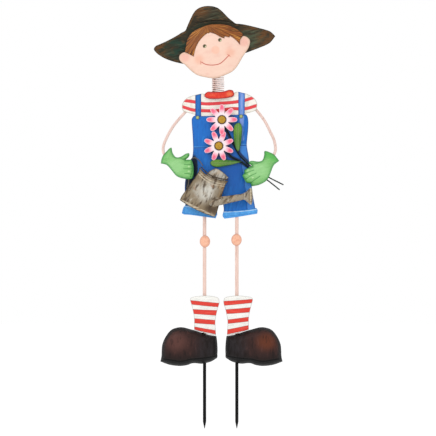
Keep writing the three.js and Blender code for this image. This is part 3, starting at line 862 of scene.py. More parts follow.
def shirt_relief(u, v, depth):
    creases = ridges(SLEEVE_CREASES, u, v, 3.5)
    sleeve_fold = 0.4 * np.sin(v / 3.1 + u / 9) * step_up(np.abs(u), 72, 90)
    under_bib = step_up(v, -20, -8)
    return (0.5 * pillow(depth, 1, 5) - 0.7 * creases + sleeve_fold * step_up(depth, 1, 6)) * under_bib


def shirt_paint(u, v, depth):
    stripe = np.min([np.abs(height_over(line, u, v)) for line in SHIRT_STRIPES], axis=0)
    # fold is the painted shade along the sleeve creases.
    return {"stripe": stripe, "fold": hill(off_lines(SLEEVE_CREASES, u, v), 9)}


def collar_coat():
    coat = Coat("collar_enamel", "d63627", 0.38, 0.25)
    brushed(coat, "e85a36", "bd2420", 74, (9, 9, 3), 0.8)
    coat.shade("ee8450", "shine", 0.3, 1.0, 0.65)
    edged(coat, "8f1c1e", 3.6, 0.9)
    return coat.finish(8)


def collar_relief(u, v, depth):
    folds = 0.35 * np.sin(u / 4.2 + 0.3 * v) * step_up(depth, 0.5, 5)
    return pillow(depth, 0.9, 7) + folds - 0.9


def collar_paint(u, v, depth):
    return {"shine": spots(u, v, COLLAR_SHINE)}


def denim_coat(name, base, light, dark):
    coat = Coat(name, base, 0.40, 0.3)
    brushed(coat, light, dark, 84, (30, 30, 7), 0.55)
    return coat


def overalls_coat():
    coat = denim_coat("overalls_enamel", "0a66bc", "1e86d8", "084c9c")
    coat.shade("0a4fa0", "deep", 0.2, 1.0, 0.8)
    sheen = coat.noise((8, 8, 30), 3.0, -6)
    coat.over("7f98d6", coat.value("sheen").span(0.25, 0.8) * sheen.span(0.30, 0.62) * 0.85)
    coat.shade("4a8ad6", "panel", 0.25, 0.9, 0.6)
    coat.shade("071c44", "shadow", 0.15, 0.75, 0.92)
    # Painted black shadow beside the left glove and the can.
    coat.shade("05070c", "black", 0.12, 0.5, 0.95)
    edged(coat, "0a4890", 4, 0.8)
    coat.line("seam", 1.5, "063a80", 0.85, 0.6)
    # A painted highlight along the top of the waist seam.
    coat.line("piping", 1.1, "5fa8e4", 0.8, 0.8)
    return coat.finish(84)


def overalls_relief(u, v, depth):
    waist = height_over(WAIST, u, v)
    fly = hill(off_line(FLY, u, v), 2.2)
    panel = hill(off_line(SIDE_PANEL, u, v), 2.4) * step_up(-v, -122, -118)
    pockets = ridges(POCKETS, u, v, 2.2)
    creases = ridges(LEG_CREASES, u, v, 26)
    cloth = 0.25 * np.sin(u / 11 + v / 23) * np.sin(v / 17 - u / 31)
    hem = step_up(np.abs(v + 104), 6, 16)
    seams = 0.6 * hill(waist, 2.6) + 0.45 * fly + 0.5 * panel + 0.45 * pockets
    return ((0.35 * creases + cloth) * step_up(depth, 0, 8) - seams + pillow(depth, 0.8, 5) - 0.8) * hem


def overalls_paint(u, v, depth):
    waist = height_over(WAIST, u, v)
    right = u - np.interp(-v, *PANEL_EDGE)
    sheen = step_up(right, -2, 2) * step_up(-right, -16, -10)
    flowers = []
    for node in ("flower_1_centre", "flower_2_centre"):
        middle_u, middle_v = Axes("overalls").read(*Axes(node).place(0, 0))
        flowers.append((1, middle_u + 4, middle_v - 5, 58))
    return {
        "seam": np.minimum(np.abs(waist + 1), off_line(SIDE_PANEL, u, v)),
        # The painted highlight just above the waist seam, left out across the middle.
        "piping": np.abs(waist - 1.6) + 30 * step_up(u, -30, -12) * step_up(-u, -54, -50),
        "sheen": sheen * step_up(v, 56, 70) * step_up(-v, -131, -126),
        "panel": step_up(right, -2, 2) * step_up(-v, -52, -49),
        "deep": spot(u, v, 30, -10, 90, 110),
        "shadow": np.maximum(spots(u, v, flowers), hill(off_lines(STEM_SHADOWS, u, v), 9)),
        # black is the painted shadow beside the left glove and the can.
        "black": spots(u, v, BLACK_SHADOWS),
    }


def cuff_coat():
    coat = denim_coat("cuff_enamel", "4a9ade", "66b2f0", "3080cc")
    edged(coat, "2f7cc8", 2.6, 0.6)
    # A painted highlight along the cuff's fold, and painted shade along its crease.
    coat.line("fold", 1.6, "c4def4", 0.9, 1.0)
    coat.line("crease", 1.2, "1f66b0", 0.7, 0.8)
    return coat.finish(84)


def cuff_sheet(side, fold, crease, coat, back):
    def relief(u, v, depth):
        soft = 0.5 * hill(off_line(fold, u, v), 3) - 0.5 * hill(off_line(crease, u, v), 2.2)
        return soft * step_up(depth, 0, 1.5) + pillow(depth, 0.8, 4) - 0.4

    def paint(u, v, depth):
        # Where the painted highlight of the fold and the painted shade of the crease lie.
        return {"fold": off_line(fold, u, v), "crease": off_line(crease, u, v)}

    sheet(f"{side}_cuff", coat, back, relief=relief, paint=paint)


def strap_sheet(side, coat, back):
    def relief(u, v, depth):
        stitches = 0.35 * hill(depth - 2.4, 1.1) * (np.sin(v * 2.1) > -0.2)
        return (0.25 * pillow(depth, 1, 3) - stitches) * step_up(v, -26, -18) - 0.1

    def paint(u, v, depth):
        return {"shine": hill(u, 7), "stitch": np.abs(depth - 2.4)}

    sheet(f"{side}_strap", coat, back, relief=relief, paint=paint, spacing=1.1)


def strap_coat(name, base, light, dark, shine, strength):
    coat = denim_coat(name, base, light, dark)
    coat.shade(shine, "shine", 0.2, 1.0, strength)
    coat.over(dark, coat.noise((3, 3, 22), 4.0).span(0.56, 0.70) * 0.7)
    edged(coat, dark, 3.2, 0.95)
    coat.line("stitch", 0.7, shine, 0.4, 0.4)
    return coat.finish(84)


def button_coat():
    coat = Coat("button_enamel", "a8b070", 0.36, 0.45)
    brushed(coat, "c6cc90", "7c8a4c", 30, (5, 5, 2), 0.7)
    coat.shade("2c4a2c", "out", 3.2, 4.3, 0.85)
    return coat.finish(30, (5, 5, 1))


def make_button(side, coat):
    """A domed shank button with a rolled rim, which leans with the bib."""
    node = f"{side}_strap_button"
    points, faces = turned(BUTTON, 40)
    low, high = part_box(node)
    lean = math.atan((low.x + high.x) / 2 / BIB_BEND)
    axis = Vector((math.sin(lean), -math.cos(lean), 0))
    turn = Vector((0, 0, 1)).rotation_difference(axis).to_matrix()
    out = np.hypot(points[:, 0], points[:, 1])
    middle = (low + high) / 2 / MM - axis * BUTTON[-1][1] / 2
    piece(node + "_dome", points @ np.array(turn).T + np.array(middle), faces, (coat,), node, {"out": out})


def make_clothes():
    shirt_back = plain("shirt_back", "dedad2", "e6e2da", "cbc6bc", 0, "8e8a82")
    sheet("shirt", shirt_coat(), shirt_back, relief=shirt_relief, paint=shirt_paint)
    collar_back = plain("collar_back", "b02c22", "bc3a2c", "981f1a", 0, "701412")
    sheet("collar", collar_coat(), collar_back, spacing=1.2, relief=collar_relief, paint=collar_paint)
    blue_back = plain("blue_back", "0c4f94", "1560a8", "083f7c", 84, "06305e")
    sheet("overalls", overalls_coat(), blue_back, relief=overalls_relief, paint=overalls_paint)
    # The right strap's coat is a lit copy of the left's: lighter blues as painted light, and a stronger painted
    # sheen.
    left = strap_coat("left_strap_enamel", "0d58a6", "2479c8", "083a78", "2f8ad8", 0.35)
    right = strap_coat("right_strap_lit_enamel", "3a78c4", "6a98dc", "1c4f9c", "8fa6e2", 0.75)
    strap_sheet("left", left, blue_back)
    strap_sheet("right", right, blue_back)
    cuff, button = cuff_coat(), button_coat()
    cuff_sheet("left", *LEFT_CUFF, cuff, blue_back)
    cuff_sheet("right", *RIGHT_CUFF, cuff, blue_back)
    for side in ("left", "right"):
        make_button(side, button)


# ------------------------------------------------------------------ gloves

GLOVE_RISE = 12
GLOVE_SHOULDER = 22  # how far from its edge a glove reaches its full rise
LEFT_FINGERS = (
    ((18, -2), (30, -2.5), (38, -2)),
    ((17, -14), (30, -14), (39, -14)),
    ((19, -26), (30, -27), (37, -28)),
)
LEFT_EDGE = ((37, 8), (38.5, -6), (38, -22), (34, -36))
LEFT_THUMB = ((4, 18), (14, 11), (24, 12))
# The painted highlight on the left glove: its middle, width and height.
LEFT_WRIST = ((-42, -2), (-33, 10), (-26, 26))
LEFT_PALM_HIGHLIGHT = (-6, -8, 46, 38)
RIGHT_FINGERS = (
    ((-44, -3), (-34, 2), (-20, 4)),
    ((-46, -15), (-32, -9), (-18, -4)),
    ((-40, -28), (-28, -20), (-12, -12)),
    ((-26, -37), (-14, -28), (-2, -20)),
)
RIGHT_THUMB = ((-30, 14), (-16, 12), (-4, 16))
# The painted highlight on the right glove: its middle, width and height.
RIGHT_WRIST = ((10, 24), (22, 16), (38, 12))
RIGHT_PALM_HIGHLIGHT = (-6, -4, 50, 40)


def glove_coat(name):
    coat = Coat(name, "7dbb6e", 0.42, 0.25)
    brushed(coat, "98cc88", "62a456", 10, (18, 18, 6), 0.6)
    # Painted highlight over the middle of the glove's domed back.
    coat.shade("9dcf90", "palm", 0.1, 0.9, 0.6)
    coat.shade("52ae4c", "wrist", -4, 14, 0.85)
    edged(coat, "46964a", 7, 0.85)
    edged(coat, "2f6a34", 1.5, 0.75)
    coat.line("groove", 1.7, "347c3a", 0.8, 1.0)
    # Painted highlights on the knuckles.
    coat.shade("cbe8b4", "knuckle", 0.3, 1.0, 0.6)
    return coat.finish(10)


def glove_sheet(side, fingers, extra, wrist, palm, back):
    lines = (*fingers, *extra)
    middles = [finger[1] for finger in fingers]
    # Where the painted highlights on the knuckles lie, between the middles of the finger grooves.
    knuckle_highlights = [(1, *np.mean(pair, axis=0), 7, 5) for pair in zip(middles, middles[1:])]

    def base(u, v, depth):
        return pillow(depth, GLOVE_RISE, GLOVE_SHOULDER)

    def relief(u, v, depth):
        grooves = hill(off_lines(lines, u, v), 3.4)
        band = hill(off_line(wrist, u, v), 3)
        return -1.5 * grooves * step_up(depth, 0, 3) - 0.9 * band * step_up(depth, 0, 2)

    def paint(u, v, depth):
        path = curve(wrist, LINE_STEP)
        along = path[-1] - path[0]
        beyond = (v - path[0][1]) * along[0] - (u - path[0][0]) * along[1]
        return {
            "groove": off_lines(lines, u, v),
            "palm": spot(u, v, *palm),
            "wrist": beyond / np.linalg.norm(along),
            "knuckle": spots(u, v, knuckle_highlights),
        }

    coat = glove_coat(f"{side}_glove_enamel")
    sheet(f"{side}_glove", coat, back, base=base, relief=relief, paint=paint, spacing=1.4)


def make_gloves():
    back = plain("glove_back", "4f8f4a", "5fa058", "3f7a3c", 10, "2a5a2c")
    glove_sheet("left", LEFT_FINGERS, (LEFT_EDGE, LEFT_THUMB), LEFT_WRIST, LEFT_PALM_HIGHLIGHT, back)
    glove_sheet("right", RIGHT_FINGERS, (RIGHT_THUMB,), RIGHT_WRIST, RIGHT_PALM_HIGHLIGHT, back)


# ------------------------------------------------------------------ legs, socks and boots

BOOT_RISE = 23
BOOT_SHOULDER = 30
KNEE_RISE = 6.6
KNEE_SHOULDER = 13
# The sole's upper edge, from the heel to the toe.
SOLE = ((-74, -29), (-44.5, -33.5), (-23.5, -36.5), (-7.5, -34.5), (2.5, -31.5), (15.5, -30.5),
        (36.5, -28.5), (76, -22))
# Each stripe's upper and lower edge on the outer side of the leg, and then on the inner side.
SOCK_STRIPES = {
    "left": (
        (39.8, 28.8, 32.8, 21.8),
        (16.8, 4.8, 13.8, -0.2),
        (-6.2, -19.2, -12.2, -24.2),
        (-27.2, -35.2, -39.2, -50.2),
    ),
    "right": (
        (42.8, 32.8, 37.8, 25.8),
        (21.8, 8.8, 15.8, 3.8),
        (-2.2, -14.2, -11.2, -22.2),
        (-23.2, -35.2, -37.2, -50.2),
    ),
}
SOCK_REACH = 35  # from the sock's middle to the places where those edges are given
TUBE_WALL = 1.0
STAKE_POINT = 18  # length of a stake's point
STAKE_PLAY = 0.3  # between a sleeve's bore and what is in it
CRIMP = ((5, 0), (6, 0.5), (9, 0.5), (10, 0))  # round a sleeve's foot, as height and depth


def boot_coat(side, sign):
    coat = Coat(f"{side}_boot_enamel", "1c1716", 0.42, 0.12)
    marks = coat.noise((7, 7, 26), 4.0)
    # Painted light: a lighter brown over the domed toe, with a reddish painted highlight in its middle.
    coat.shade("3c2623", "toe", 0.10, 0.9, 0.95)
    coat.over("66341f" if sign > 0 else "5e3c36", coat.value("glow").span(0.2, 1.0) * 0.75)
    coat.over("2c282b", coat.value("heel").span(0.2, 1.0) * marks.span(0.3, 0.7) * 0.8)
    # Lighter brush marks over the toe, as more painted light there.
    coat.over("5c3a34", marks.span(0.56, 0.78) * coat.value("toe").span(0.1, 0.7) * 0.5)
    coat.over("181312", marks.span(0.46, 0.28) * 0.6)
    edged(coat, "070606", 12, 0.95)
    coat.shade("0b0b0b", "sole", 3, -1.5, 0.9)
    coat.line("welt", 1.6, "050505", 0.8, 0.8)
    coat.shade("303030", "rim", 1.3, 0.4, 0.5)
    return coat.finish(80, (24, 24, 2))


def boot_sheet(side, sign, back):
    def base(u, v, depth):
        return pillow(depth, BOOT_RISE, BOOT_SHOULDER)

    def relief(u, v, depth):
        over = height_over(SOLE, -sign * u, v)
        welt = 1.6 * hill(over, 3.2)
        sole = 0.8 * step_up(-over, 0, 3)
        creases = np.sin(over / 3.0) * spot(u, v, sign * -26, 4, 22, 30)
        return (sole - welt + 0.5 * creases) * step_up(depth, 0, 5)

    def paint(u, v, depth):
        over = height_over(SOLE, -sign * u, v)
        return {
            "sole": over,
            "welt": np.abs(over),
            "rim": np.abs(over + 3.2),
            # Where the painted light on the toe and its painted highlight lie.
            "toe": spot(u, v, sign * 24, 12, 100, 72),
            "glow": spot(u, v, sign * 32, 14, 54, 46),
            "heel": spot(u, v, sign * -44, -2, 56, 70),
        }

    sheet(f"{side}_boot", boot_coat(side, sign), back, base=base, relief=relief, paint=paint)


def sock_coat():
    coat = Coat("sock_enamel", "ebeae4", 0.42, 0.25)
    brushed(coat, "f4f3ee", "cdd2cc", 0, (22, 22, 4), 0.7)
    ragged = (coat.noise((4, 4, 4), 3.0) - 0.5) * 0.9
    stripe = coat.value("stripe") + ragged
    coat.over("8f2c26", stripe.span(0.5, -0.5))
    coat.over("d83c30", stripe.span(-0.5, -1.4))
    coat.over("f06450", coat.noise((26, 26, 3), 3.0).span(0.5, 0.75) * stripe.span(-1, -2) * 0.6)
    edged(coat, "8e8a84", 1.6, 0.7)
    return coat.finish()


def sock_sheet(side, sign, coat, back):
    def stripe_at(u, v):
        share = (sign * -u + SOCK_REACH) / (2 * SOCK_REACH)
        away = []
        for outer_top, outer_low, inner_top, inner_low in SOCK_STRIPES[side]:
            top = outer_top + share * (inner_top - outer_top)
            low = outer_low + share * (inner_low - outer_low)
            away.append(np.abs(v - (top + low) / 2) - (top - low) / 2)
        return np.min(away, axis=0)

    def relief(u, v, depth):
        rib = 0.12 * np.sin(u * 1.9) * step_up(depth, 0.5, 3)
        cuff = 0.7 * step_up(v, 38, 42)
        stripe = 0.25 * step_up(-stripe_at(u, v), -0.8, 0.8)
        return rib + cuff * step_up(depth, 0, 2) + stripe + pillow(depth, 0.8, 4) - 0.8

    def paint(u, v, depth):
        return {"stripe": stripe_at(u, v)}

    sheet(f"{side}_sock", coat, back, relief=relief, paint=paint, spacing=1.4)


def leg_coat():
    coat = Coat("leg_enamel", "e4c6ba", 0.40, 0.25)
    brushed(coat, "eed4ca", "c8a294", 88, (40, 40, 2.5), 0.8)
    coat.over("c9a698", coat.noise((3, 3, 60), 3.0).span(0.55, 0.75) * 0.5)
    return coat.finish(88, (40, 40, 1.2))


def knee_coat():
    coat = Coat("knee_enamel", "edb497", 0.40, 0.25)
    brushed(coat, "f2c4aa", "dd987c", 20, (14, 14, 5), 0.6)
    edged(coat, "d69a84", 3.2, 0.8)
    return coat.finish(20)


def measured(node):
    """The lower and upper corners of a node's box, and half its width, in millimetres."""
    low, high = (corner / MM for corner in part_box(node))
    return low, high, (high.x - low.x) / 2


def upright(name, node, profile, coat):
    """A round body that stands on the Z axis of a node's box."""
    points, faces = turned(profile)
    low, high, _ = measured(node)
    points = points + np.array(((low.x + high.x) / 2, (low.y + high.y) / 2, 0))
    piece(name, points, faces, (coat,), node)


def make_tube(side, coat):
    node = f"{side}_leg_tube"
    low, high, outer = measured(node)
    inner = outer - TUBE_WALL
    wall = [(inner, low.z), (outer, low.z), (outer, high.z), (inner, high.z), (inner, low.z)]
    upright(f"{side}_leg", node, rounded_profile(wall, 0.3), coat)


def make_stake(side, coat):
    node = f"{side}_stake"
    low, high, radius = measured(node)
    profile = [(0, low.z), (0.6, low.z + 0.3), (radius, low.z + STAKE_POINT), (radius, high.z), (0, high.z)]
    upright(f"{side}_ground_stake", node, rounded_profile(profile, 1.2), coat)


def make_sleeve(side, coat):
    """The stake's sleeve, with a crimped band round its foot and a step between its two bores."""
    node = f"{side}_stake_socket"
    low, high, outer = measured(node)
    _, stake_top, stake = measured(f"{side}_stake")
    _, _, tube_radius = measured(f"{side}_leg_tube")
    stake_bore, tube_bore = stake + STAKE_PLAY, tube_radius + STAKE_PLAY
    step = stake_top.z + 1
    crimp = [(outer - depth, low.z + height) for height, depth in CRIMP]
    profile = [(stake_bore, low.z), (outer, low.z), *crimp, (outer, high.z), (tube_bore, high.z)]
    profile += [(tube_bore, step), (stake_bore, step), (stake_bore, low.z)]
    upright(f"{side}_sleeve", node, rounded_profile(profile, 0.5), coat)


def knee_base(u, v, depth):
    return pillow(depth, KNEE_RISE, KNEE_SHOULDER)


def knee_relief(u, v, depth):
    return 0.35 * hill(depth - 5, 2.5) - 0.2 * spot(u, v, 0, 0, 7)


def make_legs(black):
    skin, knee, sock = leg_coat(), knee_coat(), sock_coat()
    knee_back = plain("knee_back", "d8a890", "e0b49c", "c8947c", 20, "a06e5a")
    sock_back = plain("sock_back", "d8d4cc", "e2ded6", "c4c0b8", 0, "8a867e")
    boot_back = plain("boot_back", "1a1615", "262020", "100e0d", 80, "080707")
    for side, sign in (("left", -1), ("right", 1)):
        make_tube(side, skin)
        make_stake(side, black)
        make_sleeve(side, black)
        boot_sheet(side, sign, boot_back)
        sock_sheet(side, sign, sock, sock_back)
        sheet(f"{side}_knee", knee, knee_back, base=knee_base, relief=knee_relief, spacing=1.0)


def black_coat():
    coat = Coat("black_enamel", "0b0b0b", 0.42, 0.1)
    coat.over("1c1b1a", coat.noise((10, 10, 30), 4.0).span(0.5, 0.8) * 0.7)
    coat.over("2a201a", coat.noise((3, 3, 5), 4.0).span(0.66, 0.78) * 0.5)
    return coat.finish(0, (6, 6, 22), 0.05)


# ------------------------------------------------------------------ flowers and arms

PETALS = 8
SEEDS = 149
SEED_SPACE = 0.83  # the square root of a seed's number times this is how far out it sits
SEED_RADIUS = 0.75
SEED_TURN = 137.508  # degrees from one seed to the next
SEED_RIM = 1.5  # the dome has no seeds below this height


def petal_coat():
    coat = Coat("petal_enamel", "f6e6ea", 0.38, 0.3)
    reach = coat.value("reach") + (coat.noise((5, 5, 5), 3.0) - 0.5) * 7
    coat.over("f9b4c4", reach.span(15, 25) * coat.value("edge").span(0.1, 1.3))
    coat.over("f27f98", reach.span(22, 30) * coat.value("edge").span(0.5, 1.8))
    coat.shade("e8607c", "tip", 0.3, 1.0, 0.8)
    coat.over("c08ac8", coat.noise((20, 20, 20), 1.0).span(0.60, 0.74) * 0.35)
    edged(coat, "f6dbe2", 0.9, 0.5)
    return coat.finish(45, (9, 9, 2))


def petals_sheet(number, turn, coat, back):
    """The first petal lies along u, or turn degrees past it."""

    def polar(u, v):
        """How far out a place is, and how far beside the middle line of its petal."""
        reach = np.hypot(u, v)
        angle = np.degrees(np.arctan2(v, u)) - turn
        off = np.radians((angle + 180 / PETALS) % (360 / PETALS) - 180 / PETALS)
        return reach, reach * np.sin(off)

    def relief(u, v, depth):
        reach, side = polar(u, v)
        spread = step_up(reach, 13, 20)
        ridge = pillow(depth, 0.9, 3.4) - 0.45 * hill(side, 1.9) * step_up(reach, 15, 24)
        veins = 0.06 * np.sin(side * 4.5)
        return (ridge + veins) * spread

    def paint(u, v, depth):
        reach, side = polar(u, v)
        return {"reach": reach, "tip": spot(side, reach, 0, 32, 7, 12)}

    sheet(f"flower_{number}_petals", coat, back, corner=70, relief=relief, paint=paint, spacing=0.9)


def seed_coat():
    coat = Coat("seed_enamel", "c89a24", 0.42, 0.3)
    # Painted light and shade: lighter on the tops of the pressed seeds, darker in the hollows between them.
    coat.shade("dcae34", "seed", 0.15, 0.6, 0.8)
    coat.shade("6c3e10", "seed", 0.14, -0.1, 0.85)
    coat.shade("3e240c", "reach", 8.0, 10.2, 0.95)
    coat.over("f0dc78", coat.noise((2, 2, 2), 2.0).span(0.62, 0.72) * 0.6)
    return coat.finish(0, (3, 3, 3))


def make_seed_head(number, coat):
    """A dome with a spiral of small round seeds pressed into it."""
    node = f"flower_{number}_centre"
    low, high, radius = measured(node)
    rise = high.y - low.y
    rows = [(radius * math.cos(a), rise * math.sin(a)) for a in np.radians(np.linspace(0, 90, 40))]
    rows[-1] = (0, rise)
    points, faces = turned([(0, 0), (radius - 0.5, 0), *rows], 110)
    order = np.arange(1, SEEDS + 1)
    out = SEED_SPACE * np.sqrt(order)
    turn = np.radians(SEED_TURN) * order
    seeds = np.stack([out * np.cos(turn), out * np.sin(turn)], axis=1)
    near = np.array([np.hypot(*(seeds - place).T).min() for place in points[:, :2]])
    on_dome = points[:, 2] > SEED_RIM
    seed = np.where(on_dome, 0.45 - 0.55 * (near / SEED_RADIUS) ** 2, 0.0).clip(-0.1, 0.45)
    reach = np.hypot(points[:, 0], points[:, 1])
    points[:, 2] += seed - 0.45 * on_dome
    x, y, z = points.T
    placed = np.stack([x + (low.x + high.x) / 2, high.y - z, y + (low.z + high.z) / 2], axis=1)
    faces = [face[::-1] for face in faces]
    piece(f"flower_{number}_seeds", placed, faces, (coat,), node, {"seed": seed, "reach": reach})


def leaf_coat():
    coat = Coat("leaf_enamel", "44742a", 0.40, 0.25)
    brushed(coat, "5f8e2e", "2c5420", 80, (14, 14, 5), 0.7)
    coat.shade("6d9c36", "tip", 0.2, 1.0, 0.7)
    coat.shade("7c9c58", "rib", 4.5, 1.5, 0.55)
    coat.line("rib", 0.9, "2c4c1a", 0.8, 0.5)
    coat.line("vein", 0.7, "35591f", 0.5, 0.5)
    edged(coat, "274a1c", 2.4, 0.85)
    return coat.finish(80)


def leaf_sheet(number, coat, back, upright_leaf, tip):
    """tip is how far along the leaf its light end is."""

    def own(u, v):
        """How far beside the leaf's rib a place is, and how far along it."""
        return (u, v) if upright_leaf else (v, u)

    def vein_at(u, v):
        side, up = own(u, v)
        slant = up - 0.9 * np.abs(side)
        return np.abs((slant + 3.5) % 7 - 3.5) * 0.74 + 3 * step_up(-np.abs(side), -1.2, -0.4)

    def relief(u, v, depth):
        side, up = own(u, v)
        halves = 0.8 * (1 - np.exp(-np.abs(side) / 3.0))
        return (halves - 0.25 * hill(vein_at(u, v), 1.4)) * step_up(depth, 0, 3)

    def paint(u, v, depth):
        side, up = own(u, v)
        return {"rib": np.abs(side), "vein": vein_at(u, v), "tip": spot(side, up, 0, tip, 26, 34)}

    sheet(f"flower_{number}_leaf", coat, back, relief=relief, paint=paint, spacing=0.9, thickness=1.2)


def stem_coat():
    coat = Coat("stem_enamel", "0c1810", 0.4, 0.12)
    coat.over("1f3826", coat.noise((12, 12, 6), 3.0, 45).span(0.5, 0.75) * 0.7)
    coat.over("3c583e", coat.noise((16, 4, 2), 3.0, -40).span(0.62, 0.76) * 0.6)
    return coat.finish(45, (16, 16, 1))


def make_flowers():
    petals, seeds, leaf, stem = petal_coat(), seed_coat(), leaf_coat(), stem_coat()
    petal_back = plain("petal_back", "e8bcc6", "f0ccd4", "d8a2b0", 45, "b87c8c")
    leaf_back = plain("leaf_back", "2f5420", "3c6428", "244418", 80, "162c10")
    for number, turn in ((1, 0), (2, 22.5)):
        petals_sheet(number, turn, petals, petal_back)
        make_seed_head(number, seeds)
        low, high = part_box(f"flower_{number}_stem")
        rod(f"flower_{number}_stem", stem, (high.y - low.y) / 2 / MM, 1.2, 16)
    leaf_sheet(1, leaf, leaf_back, True, 22)
    leaf_sheet(2, leaf, leaf_back, False, -26)


def make_arms():
    coat = Coat("arm_enamel", "dfc2b8", 0.40, 0.25)
    brushed(coat, "ecd2c8", "bf9f94", 60, (30, 30, 3), 0.8)
    material = coat.finish(60, (24, 24, 1.4))
    for side in ("left", "right"):
        rod(f"{side}_arm_rod", material, 3.75, 1.5, 24)


# ------------------------------------------------------------------ neck spring

SPRING_TURNS = 10
TURN_STEPS = 48  # points in one turn
WIRE = 1.5  # radius


def spring_coat():
    coat = Coat("spring_enamel", "e4c6bc", 0.34, 0.45)
    coat.shader.inputs["Metallic"].default_value = 0.15
    coat.over("967a70", coat.noise((6, 6, 3), 3.0).span(0.46, 0.66) * 0.85)
    coat.over("f6e2d8", coat.noise((9, 9, 2), 2.0).span(0.6, 0.75) * 0.7)
    return coat.finish(0, (8, 8, 1))


def make_spring():
    """The coil in two halves, a lower and an upper one."""
    coat = spring_coat()
    low, high, outer = measured("neck_spring")
    middle = (low + high) / 2
    radius = outer - WIRE
    steps = np.linspace(0, 1, SPRING_TURNS * TURN_STEPS + 1)
    angle = 2 * math.pi * SPRING_TURNS * steps
    height = low.z + WIRE + (high.z - low.z - 2 * WIRE) * steps
    path = np.stack([middle.x + radius * np.cos(angle), middle.y + radius * np.sin(angle), height], axis=1)
    half = len(steps) // 2
    pivot = next(joint for joint in frame["joints"] if joint["name"] == "head_sway")["pos_m"]
    bottom, top = low.z * MM, high.z * MM
    for name, stretch, bodies, ends in (
        ("neck_spring_lower", path[: half + 1], ("figure", "neck_spring"), (bottom, pivot[2])),
        ("neck_spring_upper", path[half:], ("neck_spring", "head"), (pivot[2], top)),
    ):
        points, faces, along = tube(stretch, WIRE, 16, 0.0)
        coil = shape(name, points, faces, (coat,), {"along": along})
        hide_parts("neck_spring")
        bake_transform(coil)


# ------------------------------------------------------------------ watering can

CAN_TILT = -26
CAN_SHIFT = (2.8, 3.5)  # from the middle of the can's box to its own middle
CAN_BEADS = ((30.5, 0.9), (24.5, 0.5))  # height and rise
CAN_SAG = 0.006  # a bead's height rises by this times the square of u
# Painted highlights on the can's rounded front, then painted shade towards its right side; each row is strength,
# place, width and height.
CAN_HIGHLIGHTS = ((1, 2, 4, 44, 62), (0.7, -20, -8, 30, 60))
CAN_SHADING = ((1, 34, -36, 40, 22), (1, 44, 0, 14, 80))
RIM_WIRE = 1.4
SPOUT_RISE = 36.6  # degrees that the spout rises by from the can's u axis
SPOUT_LENGTH = 91.0
SPOUT_TIP = 7.3  # radius at the tip, where the rose begins
SPOUT_ROOT = 11.6  # radius at the far end of that length
SPOUT_NECK = 7.0  # radius inside the rose
SPOUT_SIDES = 48
SPOUT_ROWS = 40
SPOUT_STEP = 0.5
SPOUT_CLEAR = 1.2  # a side of the tube ends where the CAD spout is farther off than this
ROSE_FACE = 19.5  # radius of the rose's face inside its rim
ROSE_DOME = 1.6  # how far the middle of that face stands out past its edge
ROSE_RINGS = ((0, 1), (4.6, 6), (9.2, 12), (13.8, 18), (17.2, 24))  # radius of each ring, and its holes
HOLE = 1.1  # radius


def zinc_coat():
    coat = Coat("zinc_enamel", "84745c", 0.5, 0.2)
    large = coat.noise((34, 34, 44), 4.0, CAN_TILT)
    # Painted highlight: pale patches over the lit parts of the can.
    coat.over("c9c6bc", coat.value("bright").span(0.15, 0.95) * large.span(0.30, 0.55) * 0.95)
    coat.over("b59a78", large.span(0.55, 0.72) * 0.7)
    coat.over("4a3a2a", coat.noise((9, 9, 26), 5.0, CAN_TILT).span(0.52, 0.36) * 0.85)
    coat.over("9a6a40", coat.noise((13, 13, 18), 4.0, 50).span(0.60, 0.78) * 0.55)
    coat.over("d8d2c4", coat.noise((5, 5, 16), 5.0, CAN_TILT).span(0.60, 0.74) * 0.6)
    coat.over("3a2c20", coat.noise((5, 5, 7), 5.0, 30).span(0.62, 0.76) * 0.7)
    # Painted shade: on the can's right side, on the hood, and in the rose's holes.
    coat.shade("3a2a1e", "dark", 0.2, 1.0, 0.8)
    worn = coat.noise((14, 14, 3), 3.0).span(0.3, 0.6)
    coat.over("cdbfa6", coat.value("hem").span(0.3, 0.9) * worn * 0.8)
    edged(coat, "33261a", 3.0, 0.85)
    return coat.finish(CAN_TILT, (6, 6, 20), 0.2)


def can_relief(u, v, depth):
    beads = sum(rise * hill(v - CAN_SAG * u**2 - level, 2.4) for level, rise in CAN_BEADS)
    hem = 0.9 * step_up(-v, 46, 47.5)
    dents = 0.5 * np.sin(u / 8 + v / 19) * np.sin(v / 13)
    return (beads + hem + dents) * step_up(depth, 0, 3)


def can_paint(u, v, depth):
    beads = np.max([hill(v - CAN_SAG * u**2 - level, 3) for level, _ in CAN_BEADS], axis=0)
    return {
        # Where the painted highlight and the painted shade lie.
        "bright": spots(u, v, CAN_HIGHLIGHTS),
        "dark": spots(u, v, CAN_SHADING),
        "hem": np.maximum(step_up(-v, 45, 47), beads),
    }


def hood_relief(u, v, depth):
    return 0.9 * hill(depth - 1.4, 2) + 0.3 * np.sin(u / 6)


def hood_paint(u, v, depth):
    shadow = {"dark": 0.4 * spot(u, v, 30, 0, 20, 60), "hem": hill(depth - 1, 3)}
    # The hood carries much painted highlight all over.
    return {**everywhere(len(u), bright=0.8), **shadow}


def handle_paint(u, v, depth):
    # The handle carries the painted highlight all over.
    return everywhere(len(u), bright=1, hem=1, dark=0)


def make_can():
    coat = zinc_coat()
    back = plain("zinc_back", "5a5046", "6a5f54", "443c34", CAN_TILT, "2a241e")
    axes = Axes("can_body", CAN_TILT, CAN_SHIFT)
    sheet("can_body", coat, back, axes, relief=can_relief, paint=can_paint, spacing=1.2)
    axes = Axes("can_hood", CAN_TILT)
    sheet("can_hood", coat, back, axes, relief=hood_relief, paint=hood_paint, spacing=1.2)
    rod("can_rim", coat, RIM_WIRE, 1.2, 14)
    low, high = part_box("can_handle")
    sheet("can_handle", coat, coat, paint=handle_paint, spacing=1.0, thickness=(high.y - low.y) / MM)
    make_spout(coat)
    make_rose(coat)


